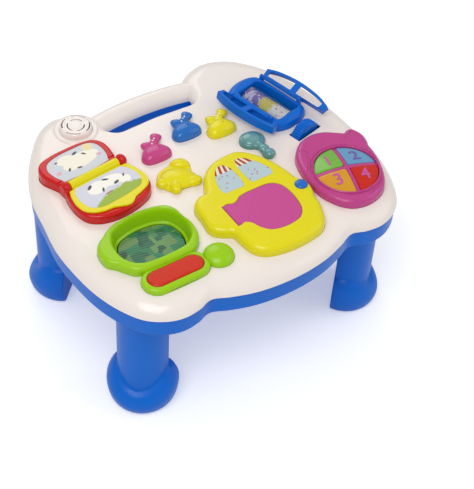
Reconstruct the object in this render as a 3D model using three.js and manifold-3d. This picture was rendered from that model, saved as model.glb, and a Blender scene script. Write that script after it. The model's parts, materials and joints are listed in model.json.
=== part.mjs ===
// A musical activity table, in millimetres, +Z up, +X to the right, +Y to the rear. The
// origin is on the floor under the middle of the table, and the table's front faces -Y.
import * as THREE from 'three';
import { mergeVertices } from 'three/addons/utils/BufferGeometryUtils.js';
import Module from 'manifold-3d';

const wasm = await Module();
wasm.setup();

// Table body
const halfWidth = 245;
const halfDepth = 216.5;
const seamHeight = 213;
const domeRise = 25;
const tableTop = seamHeight + domeRise;
const bandHeight = 26;
const bandInset = 2;
const shellWall = 2.4;
const fitGap = 0.3;
const overrun = 4;

// Handle across the rear
const handleY = 175.5;
const handleBow = 5;
const handleHalfWidth = 17;
const handleRise = 19;
const handleDrop = 18;
const handleReach = 92;

// Legs
const legX = 179;
const legFrontY = -126;
const legRearY = 116;
const rearLeftX = -176;
const rearLeftY = 114;
const columnRadius = 35.7;
const footRadius = 51;
const footHeight = 64;
const cuffDipShare = 0.4;
const flatOffset = 15;
const legWall = 2.6;
const plugHeight = 12;
const plugInset = 3;

// Play pieces: how far each stands above the table top, and how deep its skirt goes
const skirtDepth = 9;
const buttonTravel = 2;
const stemRadius = 4;
const stemGap = 0.6;
const boardDrop = 30;
const boardHeight = tableTop - boardDrop;
const boardThickness = 1.6;
const postRadius = 3.5;

const material = (color, roughness = 0.35, opacity = 1) => new THREE.MeshStandardMaterial({
  color, roughness, metalness: 0, opacity, transparent: opacity < 1,
});
const white = material('#ebe4e1');
const blue = material('#0066c8');
const red = material('#d00000');
const yellow = material('#e8e000');
const lime = material('#98d800');
const magenta = material('#cc4090');
const steel = new THREE.MeshStandardMaterial({ color: '#b8bcc0', roughness: 0.3, metalness: 0.9 });

// Geometry helpers
const solidOf = (geometry) => {
  const bare = geometry.clone();
  Object.keys(bare.attributes)
    .filter((name) => name !== 'position')
    .forEach((name) => bare.deleteAttribute(name));
  const merged = mergeVertices(bare);
  const corners = Array.from(merged.index.array);
  const kept = [];
  for (let i = 0; i < corners.length; i += 3) {
    const [a, b, c] = corners.slice(i, i + 3);
    if (a !== b && b !== c && c !== a) kept.push(a, b, c);
  }
  return new wasm.Manifold(new wasm.Mesh({
    numProp: 3,
    vertProperties: merged.attributes.position.array,
    triVerts: new Uint32Array(kept),
  }));
};

const group = new THREE.Group();
const addPart = (name, solid, finish) => {
  const { vertProperties, triVerts } = solid.getMesh();
  const geometry = new THREE.BufferGeometry();
  geometry.setAttribute('position', new THREE.BufferAttribute(vertProperties, 3));
  geometry.setIndex(new THREE.BufferAttribute(triVerts, 1));
  const mesh = new THREE.Mesh(geometry, finish);
  mesh.name = name;
  group.add(mesh);
};

const isClockwise = (points) => THREE.ShapeUtils.area(points) < 0;

// Closed rings of points, joined in order and capped at both ends
const loft = (rings, flatten = (point) => new THREE.Vector2(point.x, point.y)) => {
  const count = rings[0].length;
  const faces = [];
  const cap = (ring, start, upward) => {
    const flat = ring.map(flatten);
    const turned = isClockwise(flat);
    THREE.ShapeUtils.triangulateShape(flat, []).forEach(([a, b, c]) => {
      const same = isClockwise([flat[a], flat[b], flat[c]]) === turned;
      faces.push(same === upward ? [start + a, start + b, start + c] : [start + a, start + c, start + b]);
    });
  };
  cap(rings[0], 0, false);
  for (let level = 1; level < rings.length; level += 1) {
    const low = (level - 1) * count;
    for (let i = 0; i < count; i += 1) {
      const a = low + i;
      const b = low + (i + 1) % count;
      faces.push([a, b, b + count], [a, b + count, a + count]);
    }
  }
  cap(rings[rings.length - 1], (rings.length - 1) * count, true);
  const points = rings.flat();
  const volume = faces.reduce((sum, [a, b, c]) => (
    sum + points[a].dot(points[b].clone().cross(points[c]))), 0);
  const outward = volume > 0 ? faces : faces.map(([a, b, c]) => [a, c, b]);
  const geometry = new THREE.BufferGeometry().setFromPoints(points);
  geometry.setIndex(outward.flat());
  return solidOf(geometry);
};

const atHeight = (points, z) => points.map((point) => new THREE.Vector3(point.x, point.y, z));

// Moves a closed counterclockwise outline inwards, or outwards where the distance is negative
const inset = (points, distance) => points.map((point, i) => {
  const before = points[(i + points.length - 1) % points.length];
  const after = points[(i + 1) % points.length];
  const first = point.clone().sub(before).normalize();
  const second = after.clone().sub(point).normalize();
  const normals = new THREE.Vector2(-first.y - second.y, first.x + second.x);
  return point.clone().addScaledVector(normals, distance / (1 + first.dot(second)));
});

const plate = (points, bottom, top) => loft([atHeight(points, bottom), atHeight(points, top)]);

// A plate whose upper edge is rounded
const rounded = (points, bottom, top, radius, steps = 2) => {
  const rings = [atHeight(points, bottom)];
  for (let step = 0; step <= steps; step += 1) {
    const angle = (Math.PI / 2) * (step / steps);
    const shrink = radius * (1 - Math.cos(angle));
    rings.push(atHeight(inset(points, shrink), top - radius + radius * Math.sin(angle)));
  }
  return loft(rings);
};

const centreOf = (points) => points
  .reduce((sum, point) => sum.add(point), new THREE.Vector2())
  .divideScalar(points.length);

// An outline that swells up to a rounded crown
const crowned = (points, bottom, edge, top, crownShare = 0.3, steps = 4) => {
  const centre = centreOf(points);
  const scaled = (share) => points.map((point) => centre.clone().lerp(point, share));
  const rings = [atHeight(points, bottom)];
  for (let step = 0; step <= steps; step += 1) {
    const angle = (Math.PI / 2) * (step / steps);
    const share = crownShare + (1 - crownShare) * Math.cos(angle);
    rings.push(atHeight(scaled(share), edge + (top - edge) * Math.sin(angle)));
  }
  return loft(rings);
};

// A smooth closed outline through hand-placed shares of its half sizes
const outline = (shares, place, halfX, halfY, turn = 0, perSpan = 1) => {
  const curve = new THREE.CatmullRomCurve3(
    shares.map(([x, y]) => new THREE.Vector3(x * halfX, y * halfY, 0)),
    true,
    'centripetal',
  );
  const count = shares.length * perSpan;
  const origin = new THREE.Vector2();
  const points = [];
  for (let i = 0; i < count; i += 1) {
    const { x, y } = curve.getPoint(i / count);
    points.push(new THREE.Vector2(x, y).rotateAround(origin, turn).add(place));
  }
  return isClockwise(points) ? points.reverse() : points;
};

const circle = (place, radius, sides = 20) => {
  const points = [];
  for (let i = 0; i < sides; i += 1) {
    const angle = (2 * Math.PI * i) / sides;
    points.push(new THREE.Vector2(Math.cos(angle), Math.sin(angle)).multiplyScalar(radius).add(place));
  }
  return points;
};

const disc = (place, radius, bottom, top, sides) => plate(circle(place, radius, sides), bottom, top);

const rectangle = (lowX, lowY, highX, highY) => [
  new THREE.Vector2(lowX, lowY), new THREE.Vector2(highX, lowY),
  new THREE.Vector2(highX, highY), new THREE.Vector2(lowX, highY),
];

// A slot-shaped outline with round ends, along X
const pill = (centre, halfLength, halfBreadth, sides = 8) => {
  const points = [];
  [1, -1].forEach((side) => {
    for (let i = 0; i <= sides; i += 1) {
      const angle = Math.PI * (i / sides - 0.5);
      const reach = halfLength - halfBreadth + halfBreadth * Math.cos(angle);
      points.push(new THREE.Vector2(side * reach, side * halfBreadth * Math.sin(angle)).add(centre));
    }
  });
  return points;
};

// A round bar between two points
const rod = (start, end, radius, sides = 12) => {
  const length = start.distanceTo(end);
  const bar = new THREE.CylinderGeometry(radius, radius, length, sides);
  const turn = new THREE.Quaternion().setFromUnitVectors(
    new THREE.Vector3(0, 1, 0),
    end.clone().sub(start).divideScalar(length),
  );
  bar.applyQuaternion(turn);
  bar.translate(...start.clone().lerp(end, 0.5).toArray());
  return solidOf(bar);
};

// A turned piece about a vertical axis, from a closed profile of radius and height
const lathed = (profile, place, sides = 24) => {
  const shape = new THREE.LatheGeometry(profile.map(([r, z]) => new THREE.Vector2(r, z)), sides);
  shape.rotateX(Math.PI / 2);
  shape.translate(place.x, place.y, 0);
  const solid = solidOf(shape);
  if (solid.volume() > 0) return solid;
  shape.setIndex(Array.from(shape.index.array).reverse());
  return solidOf(shape);
};

const spot = (x, y) => new THREE.Vector2(x, y);
const joined = (solids) => solids.reduce((sum, solid) => sum.add(solid));
const cut = (solid, cutters) => cutters.reduce((left, cutter) => left.subtract(cutter), solid);
const bandBottom = seamHeight - bandHeight;
const floorTop = bandBottom + shellWall;
const boardTop = boardHeight + boardThickness;

// Body outline
const mirrored = (half, leftShares) => [
  ...half,
  ...half.slice(1, -1).reverse().map(([x, y]) => [-(leftShares.get(y) ?? x), y]),
];
const rimLeftShares = new Map([
  [0.162, 0.971], [0.393, 0.937], [0.6, 0.865], [0.776, 0.768], [0.938, 0.645],
]);
const crownLeftShares = new Map([
  [0.148, 0.83], [0.36, 0.8], [0.536, 0.738], [0.674, 0.666], [0.799, 0.582], [0.841, 0.51],
]);
const rimShares = mirrored([
  [0, -1], [0.122, -0.993], [0.245, -0.97], [0.367, -0.926], [0.469, -0.882], [0.551, -0.91],
  [0.645, -0.921], [0.735, -0.896], [0.837, -0.818], [0.914, -0.679], [0.971, -0.485],
  [0.996, -0.277], [1, -0.06], [0.992, 0.162], [0.963, 0.393], [0.906, 0.6], [0.829, 0.776],
  [0.694, 0.938], [0.531, 1], [0.388, 0.952], [0.318, 0.878], [0.302, 0.785], [0.294, 0.693],
  [0.265, 0.635], [0.163, 0.637], [0, 0.645],
], rimLeftShares);
const crownShares = mirrored([
  [0, -0.836], [0.11, -0.831], [0.22, -0.813], [0.327, -0.776], [0.433, -0.739], [0.531, -0.748],
  [0.612, -0.753], [0.678, -0.734], [0.743, -0.693], [0.788, -0.61], [0.833, -0.448],
  [0.853, -0.259], [0.857, -0.055], [0.849, 0.148], [0.824, 0.36], [0.776, 0.536],
  [0.718, 0.674], [0.62, 0.799], [0.522, 0.841], [0.441, 0.822], [0.392, 0.785],
  [0.367, 0.73], [0.343, 0.656], [0.265, 0.592], [0.163, 0.587], [0, 0.595],
], crownLeftShares);
const middle = spot(0, 0);
const rimOutline = outline(rimShares, middle, halfWidth, halfDepth, 0, 2);
const crownOutline = outline(crownShares, middle, halfWidth, halfDepth, 0, 2);
const bodyDome = (wall, steps) => {
  const outer = inset(rimOutline, wall);
  const rings = [];
  if (wall > 0) rings.push(atHeight(outer, seamHeight - overrun));
  for (let step = 0; step <= steps; step += 1) {
    const angle = (Math.PI / 2) * (step / steps);
    const ring = crownOutline.map((point, i) => point.clone().lerp(outer[i], Math.cos(angle)));
    rings.push(atHeight(ring, seamHeight + (tableTop - wall - seamHeight) * Math.sin(angle)));
  }
  return loft(rings);
};

// Half tube of the handle, above or below the seam
const handleHalf = (wall, height, reach, below, stations = 8, sides = 8) => {
  const rings = [];
  const half = handleHalfWidth - wall;
  for (let i = 0; i <= stations; i += 1) {
    const x = reach * (2 * (i / stations) - 1);
    const y = handleY + handleBow * (1 - (x / handleReach) ** 2);
    const ring = [];
    if (wall > 0) {
      ring.push(new THREE.Vector3(x, y - half, seamHeight + below * overrun));
      ring.push(new THREE.Vector3(x, y + half, seamHeight + below * overrun));
    }
    for (let k = 0; k <= sides; k += 1) {
      const angle = Math.PI * (k / sides);
      const z = seamHeight - below * (height - wall) * Math.sin(angle);
      ring.push(new THREE.Vector3(x, y + half * Math.cos(angle), z));
    }
    rings.push(ring);
  }
  return loft(rings, (point) => new THREE.Vector2(point.y, point.z));
};

// Screws that hold the two shells together from below
const screwShares = [
  [-0.286, -0.859], [0.612, -0.864], [-0.922, -0.069], [0.906, 0.009], [-0.71, 0.739], [0.51, 0.804],
];
const screwPlaces = screwShares.map(([x, y]) => spot(x * halfWidth, y * halfDepth));
const bossRadius = 4.5;
const screwRadius = 1.5;
const screwHeadRadius = 3;
const screwHeadHeight = 1.6;
const screwLength = 14;
const pilotRadius = screwRadius + fitGap;
const bossBottom = floorTop + fitGap;

// Book: a red case in two lobes with a yellow page hinged between them
const bookX = -146.7;
const bookY = 57.8;
const bookPlace = spot(bookX, bookY);
const bookTurn = THREE.MathUtils.degToRad(6.3);
const bookHalfWidth = 57;
const bookReach = 79;
const bookRise = 14;
const bookEdge = 4;
const pageThickness = 2.6;
const pageGap = 0.5;
const barrelRadius = 7;
const barrelHalfLength = 40;
const lugThickness = 12;
const lugRadius = 8;
const bookPinRadius = 1.6;
const stickerThickness = 0.4;
const bookRimHeight = 1.2;
const bookShares = [
  [0.86, -0.02], [0.9, -0.1], [0.99, -0.28], [1.02, -0.5], [0.96, -0.72], [0.76, -0.88],
  [0.42, -0.97], [0.1, -1], [-0.3, -0.99], [-0.66, -0.91], [-0.9, -0.76], [-0.98, -0.55],
  [-0.97, -0.32], [-0.91, -0.12], [-0.86, -0.02], [-0.86, 0.12], [-0.93, 0.28], [-1, 0.46],
  [-0.97, 0.66], [-0.82, 0.8], [-0.45, 0.865], [0, 0.87], [0.4, 0.85], [0.74, 0.77],
  [0.88, 0.62], [0.9, 0.46], [0.86, 0.28], [0.82, 0.12],
];
const pageShares = [
  [0.82, -0.08], [0.92, -0.24], [0.98, -0.44], [0.97, -0.62], [0.86, -0.75], [0.6, -0.83],
  [0.36, -0.88], [0.22, -0.95], [0.08, -0.97], [-0.08, -0.93], [-0.26, -0.87], [-0.52, -0.84],
  [-0.76, -0.76], [-0.9, -0.64], [-0.94, -0.46], [-0.9, -0.28], [-0.8, -0.08],
];
const coverStickerShares = [
  [0.6, 0.16], [0.7, 0.34], [0.72, 0.55], [0.66, 0.68], [0.5, 0.755], [0.1, 0.775],
  [-0.36, 0.77], [-0.68, 0.7], [-0.8, 0.56], [-0.78, 0.34], [-0.68, 0.16], [0, 0.13],
];
const pageStickerShares = [
  [0.68, -0.13], [0.82, -0.32], [0.84, -0.52], [0.72, -0.68], [0.4, -0.74], [-0.1, -0.765],
  [-0.5, -0.75], [-0.72, -0.65], [-0.8, -0.46], [-0.76, -0.24], [-0.66, -0.13], [0, -0.12],
];
const bookOutline = outline(bookShares, bookPlace, bookHalfWidth, bookReach, bookTurn);
const bookTop = tableTop + bookRise;
const bookAxisHeight = bookTop + pageGap + pageThickness / 2 + fitGap;
const bookAt = (across, along, z = bookAxisHeight) => {
  const point = spot(across, along).rotateAround(middle, bookTurn).add(bookPlace);
  return new THREE.Vector3(point.x, point.y, z);
};

// Drum: lime basin with a see-through floor that presses down
const drumX = -133;
const drumY = -76;
const drumPlace = spot(drumX, drumY);
const drumHalfWidth = 57;
const drumHalfDepth = 45;
const drumRise = 14;
const drumEdge = 5;
const drumFloorDrop = 11;
const drumFloor = tableTop - drumFloorDrop;
const drumSkirt = 16;
const drumBottom = tableTop - drumSkirt;
const padThickness = 2;
const ledgeWidth = 3;
const drumShares = [
  [0.92, 0.18], [0.97, -0.12], [0.95, -0.5], [0.83, -0.86], [0.6, -1.12], [0.3, -1.18],
  [-0.2, -1.18], [-0.7, -1.15], [-0.95, -1.02], [-1.1, -0.78], [-1.22, -0.55], [-1.38, -0.3],
  [-1.4, 0], [-1.36, 0.28], [-1.22, 0.5], [-1.03, 0.66], [-0.88, 0.8], [-0.66, 0.92],
  [-0.32, 1], [0.05, 1.02], [0.46, 0.96], [0.74, 0.82], [0.88, 0.56],
];
const basinShares = [
  [0.86, 0.1], [0.85, -0.25], [0.74, -0.6], [0.5, -0.84], [0.1, -0.91], [-0.35, -0.91],
  [-0.72, -0.82], [-0.95, -0.5], [-1, -0.05], [-0.94, 0.3], [-0.76, 0.64], [-0.42, 0.82],
  [0.02, 0.88], [0.44, 0.8], [0.74, 0.55],
];
const drumOutline = outline(drumShares, drumPlace, drumHalfWidth, drumHalfDepth);
const basinOutline = outline(basinShares, drumPlace, drumHalfWidth, drumHalfDepth);
const basinDraft = 4;

// Drumstick: a red key in a lime collar, and a round head
const stickY = -145.5;
const collarX = -140.5;
const collarCentre = spot(collarX, stickY);
const collarHalfLength = 49.5;
const collarHalfBreadth = 21.5;
const collarRise = 8;
const stickKeyX = -141;
const stickKeyCentre = spot(stickKeyX, stickY);
const stickKeyHalfLength = 41;
const stickKeyHalfBreadth = 14;
const stickKeyRise = 10;
const stickKeyEdge = 3;
const headX = -75.5;
const headY = -147;
const headPlace = spot(headX, headY);
const headRadius = 21;
const headRise = 13;
const headCrownShare = 0.15;

// Bag-shaped buttons with bows
const pouchHalfWidth = 23;
const pouchHalfDepth = 15.5;
const pouchRise = 15;
const pouchCrownShare = 0.25;
const neckAcross = 7;
const neckAlong = 15;
const pouchNeck = spot(neckAcross, neckAlong);
const bowHalfSpan = 11;
const bowLobe = 9;
const bowRaise = 5.5;
const bowHeight = 8;
const bowFlare = THREE.MathUtils.degToRad(20);
const pouchPlaceShares = [[-0.186, 0.286], [0.067, 0.374], [0.259, 0.282]];
const pouchPlaces = pouchPlaceShares.map(([x, y]) => spot(x * halfWidth, y * halfDepth));
const pouches = [
  ['pouch_pink', pouchPlaces[0], material('#d0408c'), THREE.MathUtils.degToRad(26)],
  ['pouch_blue', pouchPlaces[1], material('#1070cc'), THREE.MathUtils.degToRad(18)],
  ['pouch_yellow', pouchPlaces[2], yellow, THREE.MathUtils.degToRad(15)],
];
const pouchShares = [
  [1, -0.25], [0.86, -0.78], [0.45, -1], [-0.45, -1], [-0.86, -0.78], [-1, -0.25],
  [-0.82, 0.4], [-0.4, 0.9], [0.4, 0.9], [0.82, 0.4],
];

// Bell-shaped button
const bellX = -43;
const bellY = 8;
const bellPlace = spot(bellX, bellY);
const bellHalfWidth = 31;
const bellHalfDepth = 29;
const bellRise = 13;
const bellCrownShare = 0.3;
const bellShares = [
  [-0.97, -0.05], [-0.9, 0.3], [-0.66, 0.6], [-0.3, 0.76], [0.02, 0.82], [0.22, 1],
  [0.56, 1.06], [0.84, 0.9], [0.95, 0.58], [0.84, 0.2], [0.74, -0.1], [0.82, -0.4],
  [0.6, -0.74], [0.2, -0.88], [-0.3, -0.82], [-0.66, -0.8], [-0.86, -0.5],
];

// Lamp lens shaped as a maraca
const lampX = 89;
const lampY = 4;
const lampPlace = spot(lampX, lampY);
const lampHalfWidth = 19;
const lampHalfDepth = 30;
const lampRise = 12;
const lampEdge = 4;
const lampShares = [
  [0, 0.97], [0.63, 0.84], [1, 0.47], [0.88, 0.1], [0.52, -0.16], [0.42, -0.42],
  [0.62, -0.68], [0.55, -0.98], [0.2, -1.08], [-0.16, -0.98], [-0.2, -0.68], [-0.08, -0.42],
  [-0.26, -0.14], [-0.72, 0.02], [-1, 0.32], [-0.93, 0.66], [-0.55, 0.9],
];

// House panel with a flap door, two window prints and a doorbell
const houseX = 18;
const houseY = -92;
const housePlace = spot(houseX, houseY);
const houseHalfWidth = 83;
const houseHalfDepth = 96;
const houseRise = 15;
const houseEdge = 6;
const houseShares = [
  [0.2, 0.99], [-0.16, 0.93], [-0.38, 0.8], [-0.52, 0.62], [-0.62, 0.47], [-0.76, 0.45],
  [-0.88, 0.38], [-0.95, 0.27], [-0.97, 0.06], [-1, -0.14], [-0.95, -0.25], [-0.84, -0.33],
  [-0.72, -0.4], [-0.69, -0.6], [-0.63, -0.8], [-0.5, -0.92], [-0.3, -0.98], [0.04, -1.01],
  [0.36, -0.99], [0.6, -0.94], [0.74, -0.84], [0.84, -0.68], [0.9, -0.54], [0.93, -0.38],
  [0.98, -0.28], [1.01, -0.15], [0.98, -0.03], [0.92, 0.06], [0.88, 0.26], [0.82, 0.46],
  [0.72, 0.66], [0.56, 0.86], [0.4, 0.97],
];
const doorAxisX = -28;
const doorThickness = 3.4;
const doorGap = 0.5;
const doorRelief = 1.4;
const doorBarrelRadius = 1.7;
const doorPinRadius = 0.9;
const doorX = 18;
const doorY = -118;
const doorPlace = spot(doorX, doorY);
const doorHalfWidth = 49;
const doorHalfDepth = 40;
const doorShares = [
  [-0.93, 0.82], [-0.8, 0.85], [-0.64, 0.77], [-0.49, 0.82], [-0.35, 0.94], [-0.14, 0.99],
  [0.2, 1], [0.57, 0.99], [0.78, 0.9], [0.94, 0.67], [1, 0.3], [0.98, -0.2], [0.88, -0.62],
  [0.67, -0.9], [0.37, -1], [0, -1], [-0.3, -0.88], [-0.49, -0.62], [-0.61, -0.28],
  [-0.76, -0.14], [-0.93, -0.2],
];
const doorTabLow = -126;
const doorTabHigh = -85;
const bellButtonX = 88;
const bellButtonY = -104;
const bellButtonPlace = spot(bellButtonX, bellButtonY);
const bellButtonRadius = 9;
const bellButtonRise = 4;
const bellButtonCrownShare = 0.3;
const windowX = 27;
const windowY = -41;
const windowPlace = spot(windowX, windowY);
const windowHalfWidth = 42;
const windowHalfDepth = 26;
const windowLeftShares = [
  [-0.93, -0.94], [-0.2, -0.96], [-0.13, -0.7], [-0.13, 0.55], [-0.28, 0.97], [-0.45, 0.95],
  [-0.66, 0.7], [-0.86, 0.1], [-0.97, -0.6],
];
const windowRightShares = [
  [0.14, -0.94], [0.95, -0.94], [1.02, -0.6], [0.86, 0.1], [0.64, 0.66], [0.42, 0.97],
  [0.22, 0.95], [0.12, 0.55], [0.1, -0.6],
];

// Window with shutters and a roller behind it
const frameX = 151.5;
const frameY = 70;
const framePlace = spot(frameX, frameY);
const frameTurn = THREE.MathUtils.degToRad(13);
const frameHalfWidth = 33;
const frameHalfDepth = 59;
const frameRise = 16;
const frameEdge = 9;
const frameSkirt = 17;
const frameBottom = tableTop - frameSkirt;
const wellHalfWidth = 23;
const wellFront = -43;
const wellRear = 39;
const frameShares = [
  [1, -0.5], [1, 0.6], [0.9, 0.82], [0.6, 0.95], [0, 1.02], [-0.6, 0.97], [-1, 0.84],
  [-1.12, 0.6], [-1.12, -0.5], [-1, -0.78], [-0.55, -0.94], [0, -0.98], [0.55, -0.95], [0.92, -0.82],
];
const shutterWidth = 25;
const shutterHalfLength = 54;
const leftHingeAcross = 33;
const leftLeafAlong = -6;
const leftTilt = THREE.MathUtils.degToRad(12);
const rightHingeAcross = 29;
const rightLeafAlong = -17;
const rightTilt = THREE.MathUtils.degToRad(25);
const shutters = [
  { label: 'left', side: -1, centre: leftLeafAlong, hingeOffset: leftHingeAcross, tilt: leftTilt },
  { label: 'right', side: 1, centre: rightLeafAlong, hingeOffset: rightHingeAcross, tilt: rightTilt },
];
const shutterPlate = 2.5;
const shutterDepth = 13;
const shutterWall = 2.2;
const shutterBar = 9;
const shutterPinRadius = 1.2;
const knuckleRadius = 3;
const knuckleHalfLength = 34;
const earThickness = 5;
const hingeLift = 3.6;
const shutterShares = [
  [0.14, -0.96], [0.14, 0.96], [0.58, 1], [0.78, 0.74], [0.92, 0.38], [0.97, 0],
  [0.92, -0.38], [0.78, -0.74], [0.58, -1],
];
const paneEnd = shutterHalfLength - 2 * shutterBar;
const paneShares = [
  [0.18, -0.85], [0.51, -0.87], [0.65, -0.64], [0.77, -0.32], [0.81, 0], [0.77, 0.32],
  [0.65, 0.64], [0.51, 0.87], [0.18, 0.85],
];
const rollerDrop = 8;
const rollerHeight = tableTop - rollerDrop;
const rollerAcross = 1.5;
const rollerRadius = 20;
const rollerWall = 1.5;
const rollerEndGap = 2;
const printRadius = 17;
const axleRadius = 3;
const wheelRadius = 23.5;
const wheelFront = -82;
const wheelRear = -66;
const wheelTeeth = 20;
const toothDepth = 1.6;
const slotMargin = 1;

// Number panel with four domed quarter keys
const panelX = 167.5;
const panelY = -98;
const panelPlace = spot(panelX, panelY);
const panelHalfWidth = 62.5;
const panelHalfDepth = 75;
const panelRise = 13;
const panelEdge = 8;
const panelSkirt = 13;
const panelShares = [
  [0.27, 0.94], [-0.02, 1], [-0.38, 0.95], [-0.6, 0.83], [-0.8, 0.63], [-0.9, 0.43],
  [-0.96, 0.24], [-0.99, 0.02], [-1, -0.22], [-0.97, -0.43], [-0.88, -0.63], [-0.76, -0.8],
  [-0.56, -0.94], [-0.28, -1], [-0.04, -0.99], [0.2, -0.93], [0.39, -0.83], [0.57, -0.65],
  [0.71, -0.43], [0.81, -0.21], [0.87, 0.01], [0.9, 0.19], [0.96, 0.3], [1, 0.48],
  [0.96, 0.64], [0.87, 0.75], [0.76, 0.76], [0.64, 0.72], [0.48, 0.82],
];
const dialX = 162;
const dialY = -110.5;
const dialPlace = spot(dialX, dialY);
const dialRadius = 46;
const dialTurn = THREE.MathUtils.degToRad(-14);
const dialLip = 3;
const dialLipRise = 1.6;
const keyEdgeRise = 12.5;
const keyCrownRise = 19;
const keySpacing = 3;
const armDrop = 1;
const keyStemShare = 0.476;
const keyDomeShares = [0.8, 0.55, 0.28];
const keyFloorThickness = 2;

// Speaker in the left ear
const speakerX = -115.5;
const speakerY = 165.5;
const speakerPlace = spot(speakerX, speakerY);
const speakerBossRadius = 31;
const speakerBossRise = 2.5;
const grilleRadius = 24;
const grilleRise = 10.5;
const grilleWall = 2;
const grilleEdgeShares = [[0.95, 0.2], [0.85, 0]];
const slotBreadth = 1.8;
const driverRadius = 21;
const magnetRadius = 11;
const driverDepth = 16;
const grilleRings = [
  [0.89, [20, 80, 110, 170, 200, 260, 290, 350]],
  [0.54, [10, 100, 130, 220, 250, 340]],
];

const housings = [
  bookOutline,
  outline(bellShares, bellPlace, bellHalfWidth, bellHalfDepth),
  outline(lampShares, lampPlace, lampHalfWidth, lampHalfDepth),
  outline(houseShares, housePlace, houseHalfWidth, houseHalfDepth),
  outline(frameShares, framePlace, frameHalfWidth, frameHalfDepth, frameTurn),
  outline(panelShares, panelPlace, panelHalfWidth, panelHalfDepth),
  circle(headPlace, headRadius),
  ...pouches.map(([, place]) => outline(pouchShares, place, pouchHalfWidth, pouchHalfDepth)),
];
const [, bellOutline, lampOutline, houseOutline, frameOutline, panelOutline, headOutline] = housings;
const cutTop = tableTop + 2 * overrun;
const opening = (points) => plate(inset(points, -fitGap), bandBottom, cutTop);
const collarOutline = pill(collarCentre, collarHalfLength, collarHalfBreadth);
const frameAt = (across, along, z = rollerHeight) => {
  const point = spot(across, along).rotateAround(middle, frameTurn).add(framePlace);
  return new THREE.Vector3(point.x, point.y, z);
};
const framePoints = (lowX, lowY, highX, highY) => rectangle(lowX, lowY, highX, highY)
  .map((point) => point.rotateAround(middle, frameTurn).add(framePlace));

// Top shell
const bodyOuter = bodyDome(0, 3);
const handleOuter = handleHalf(0, handleRise, handleReach, -1);
const shellHollow = bodyDome(shellWall, 2)
  .add(handleHalf(shellWall, handleRise, handleReach, -1));
const bosses = screwPlaces.map((place) => (
  disc(place, bossRadius, bossBottom, tableTop, 8).intersect(
    bodyOuter.add(plate(rimOutline, bandBottom, seamHeight + shellWall)))));
const wheelSlot = plate(
  framePoints(rollerAcross - wheelRadius - slotMargin, wheelFront - slotMargin,
    rollerAcross + wheelRadius + slotMargin, wheelRear + slotMargin),
  bandBottom,
  cutTop,
);
const speakerBoss = rounded(circle(speakerPlace, speakerBossRadius, 24),
  tableTop - 2 * shellWall - speakerBossRise, tableTop + speakerBossRise, speakerBossRise, 2);
addPart('top_shell', cut(joined([
  bodyOuter.add(handleOuter).subtract(shellHollow),
  ...bosses,
  speakerBoss,
]), [
  ...housings.map(opening),
  opening(drumOutline).add(opening(collarOutline)),
  wheelSlot,
  disc(speakerPlace, grilleRadius + fitGap, bandBottom, cutTop),
  ...screwPlaces.map((place) => disc(place, pilotRadius, bandBottom, bossBottom + screwLength, 8)),
]), white);

// Base shell: a tray with leg sockets, posts and the battery box
const bandOutline = inset(rimOutline, bandInset);
const batteryRadius = 7.25;
const batteryLength = 50.5;
const batteryGap = 0.6;
const batteryX = 0;
const batteryY = -45;
const batteryPlace = spot(batteryX, batteryY);
const batteryCount = 3;
const boxHalfDepth = batteryCount * (batteryRadius + batteryGap);
const contactRoom = 1.6;
const boxEnd = batteryLength / 2 + contactRoom;
const doorScrewX = boxEnd + postRadius;
const boxHighX = doorScrewX + bossRadius;
const boxTop = floorTop + 2 * batteryRadius + 2 * batteryGap;
const boxInner = rectangle(-boxEnd, batteryPlace.y - boxHalfDepth, boxHighX, batteryPlace.y + boxHalfDepth);
const doorScrewPlace = spot(doorScrewX, batteryPlace.y);
const switchX = 60;
const switchY = -45;
const switchPlace = spot(switchX, switchY);
const switchHalfLength = 9;
const switchHalfWidth = 5;
const switchTravel = 6;
const switchKnob = 4;

const dSection = (radius, flat, turn, place, sides = 14) => {
  const half = Math.acos(flat / radius);
  const points = [];
  for (let i = 0; i <= sides; i += 1) {
    const angle = half + (2 * Math.PI - 2 * half) * (i / sides);
    points.push(spot(radius * Math.cos(angle), radius * Math.sin(angle)));
  }
  return points.map((point) => point.rotateAround(middle, turn).add(place));
};
const legs = [
  ['leg_front_left', spot(-legX, legFrontY)],
  ['leg_front_right', spot(legX, legFrontY)],
  ['leg_rear_left', spot(rearLeftX, rearLeftY)],
  ['leg_rear_right', spot(legX, legRearY)],
].map(([name, place]) => {
  const turn = Math.atan2(-Math.sign(place.y), -Math.sign(place.x));
  return { name, place, turn };
});
const plugRadius = columnRadius - plugInset;
const plugFlat = flatOffset - plugInset;

const around = (x, y, halfX, halfY) => rectangle(x - halfX, y - halfY, x + halfX, y + halfY);
const mainBoardX = 15;
const mainBoardY = 52;
const mainBoardHalfWidth = 89;
const mainBoardHalfDepth = 52;
const dialBoardHalf = 43;
const drumBoardX = -136;
const drumBoardY = -102;
const drumBoardHalfWidth = 44;
const drumBoardHalfDepth = 56;
const mainBoard = around(mainBoardX, mainBoardY, mainBoardHalfWidth, mainBoardHalfDepth);
const numberBoard = around(dialX, dialY, dialBoardHalf, dialBoardHalf);
const drumBoard = around(drumBoardX, drumBoardY, drumBoardHalfWidth, drumBoardHalfDepth);
const drumBoardDrop = 22;
const drumBoardHeight = tableTop - drumBoardDrop;
const postInset = 4.5;
const numberPosts = inset(numberBoard, postInset);
numberPosts[1].x -= 2 * (columnRadius - postInset);
const drumPosts = inset(drumBoard, postInset);
drumPosts[0].x += columnRadius + postInset;
const posts = [
  [inset(mainBoard, postInset), boardHeight],
  [numberPosts, boardHeight],
  [drumPosts, drumBoardHeight],
].flatMap(([places, height]) => places.map((place) => disc(place, postRadius, bandBottom, height, 8)));
const batteryBox = plate(inset(boxInner, -shellWall), bandBottom, boxTop + shellWall);
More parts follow.
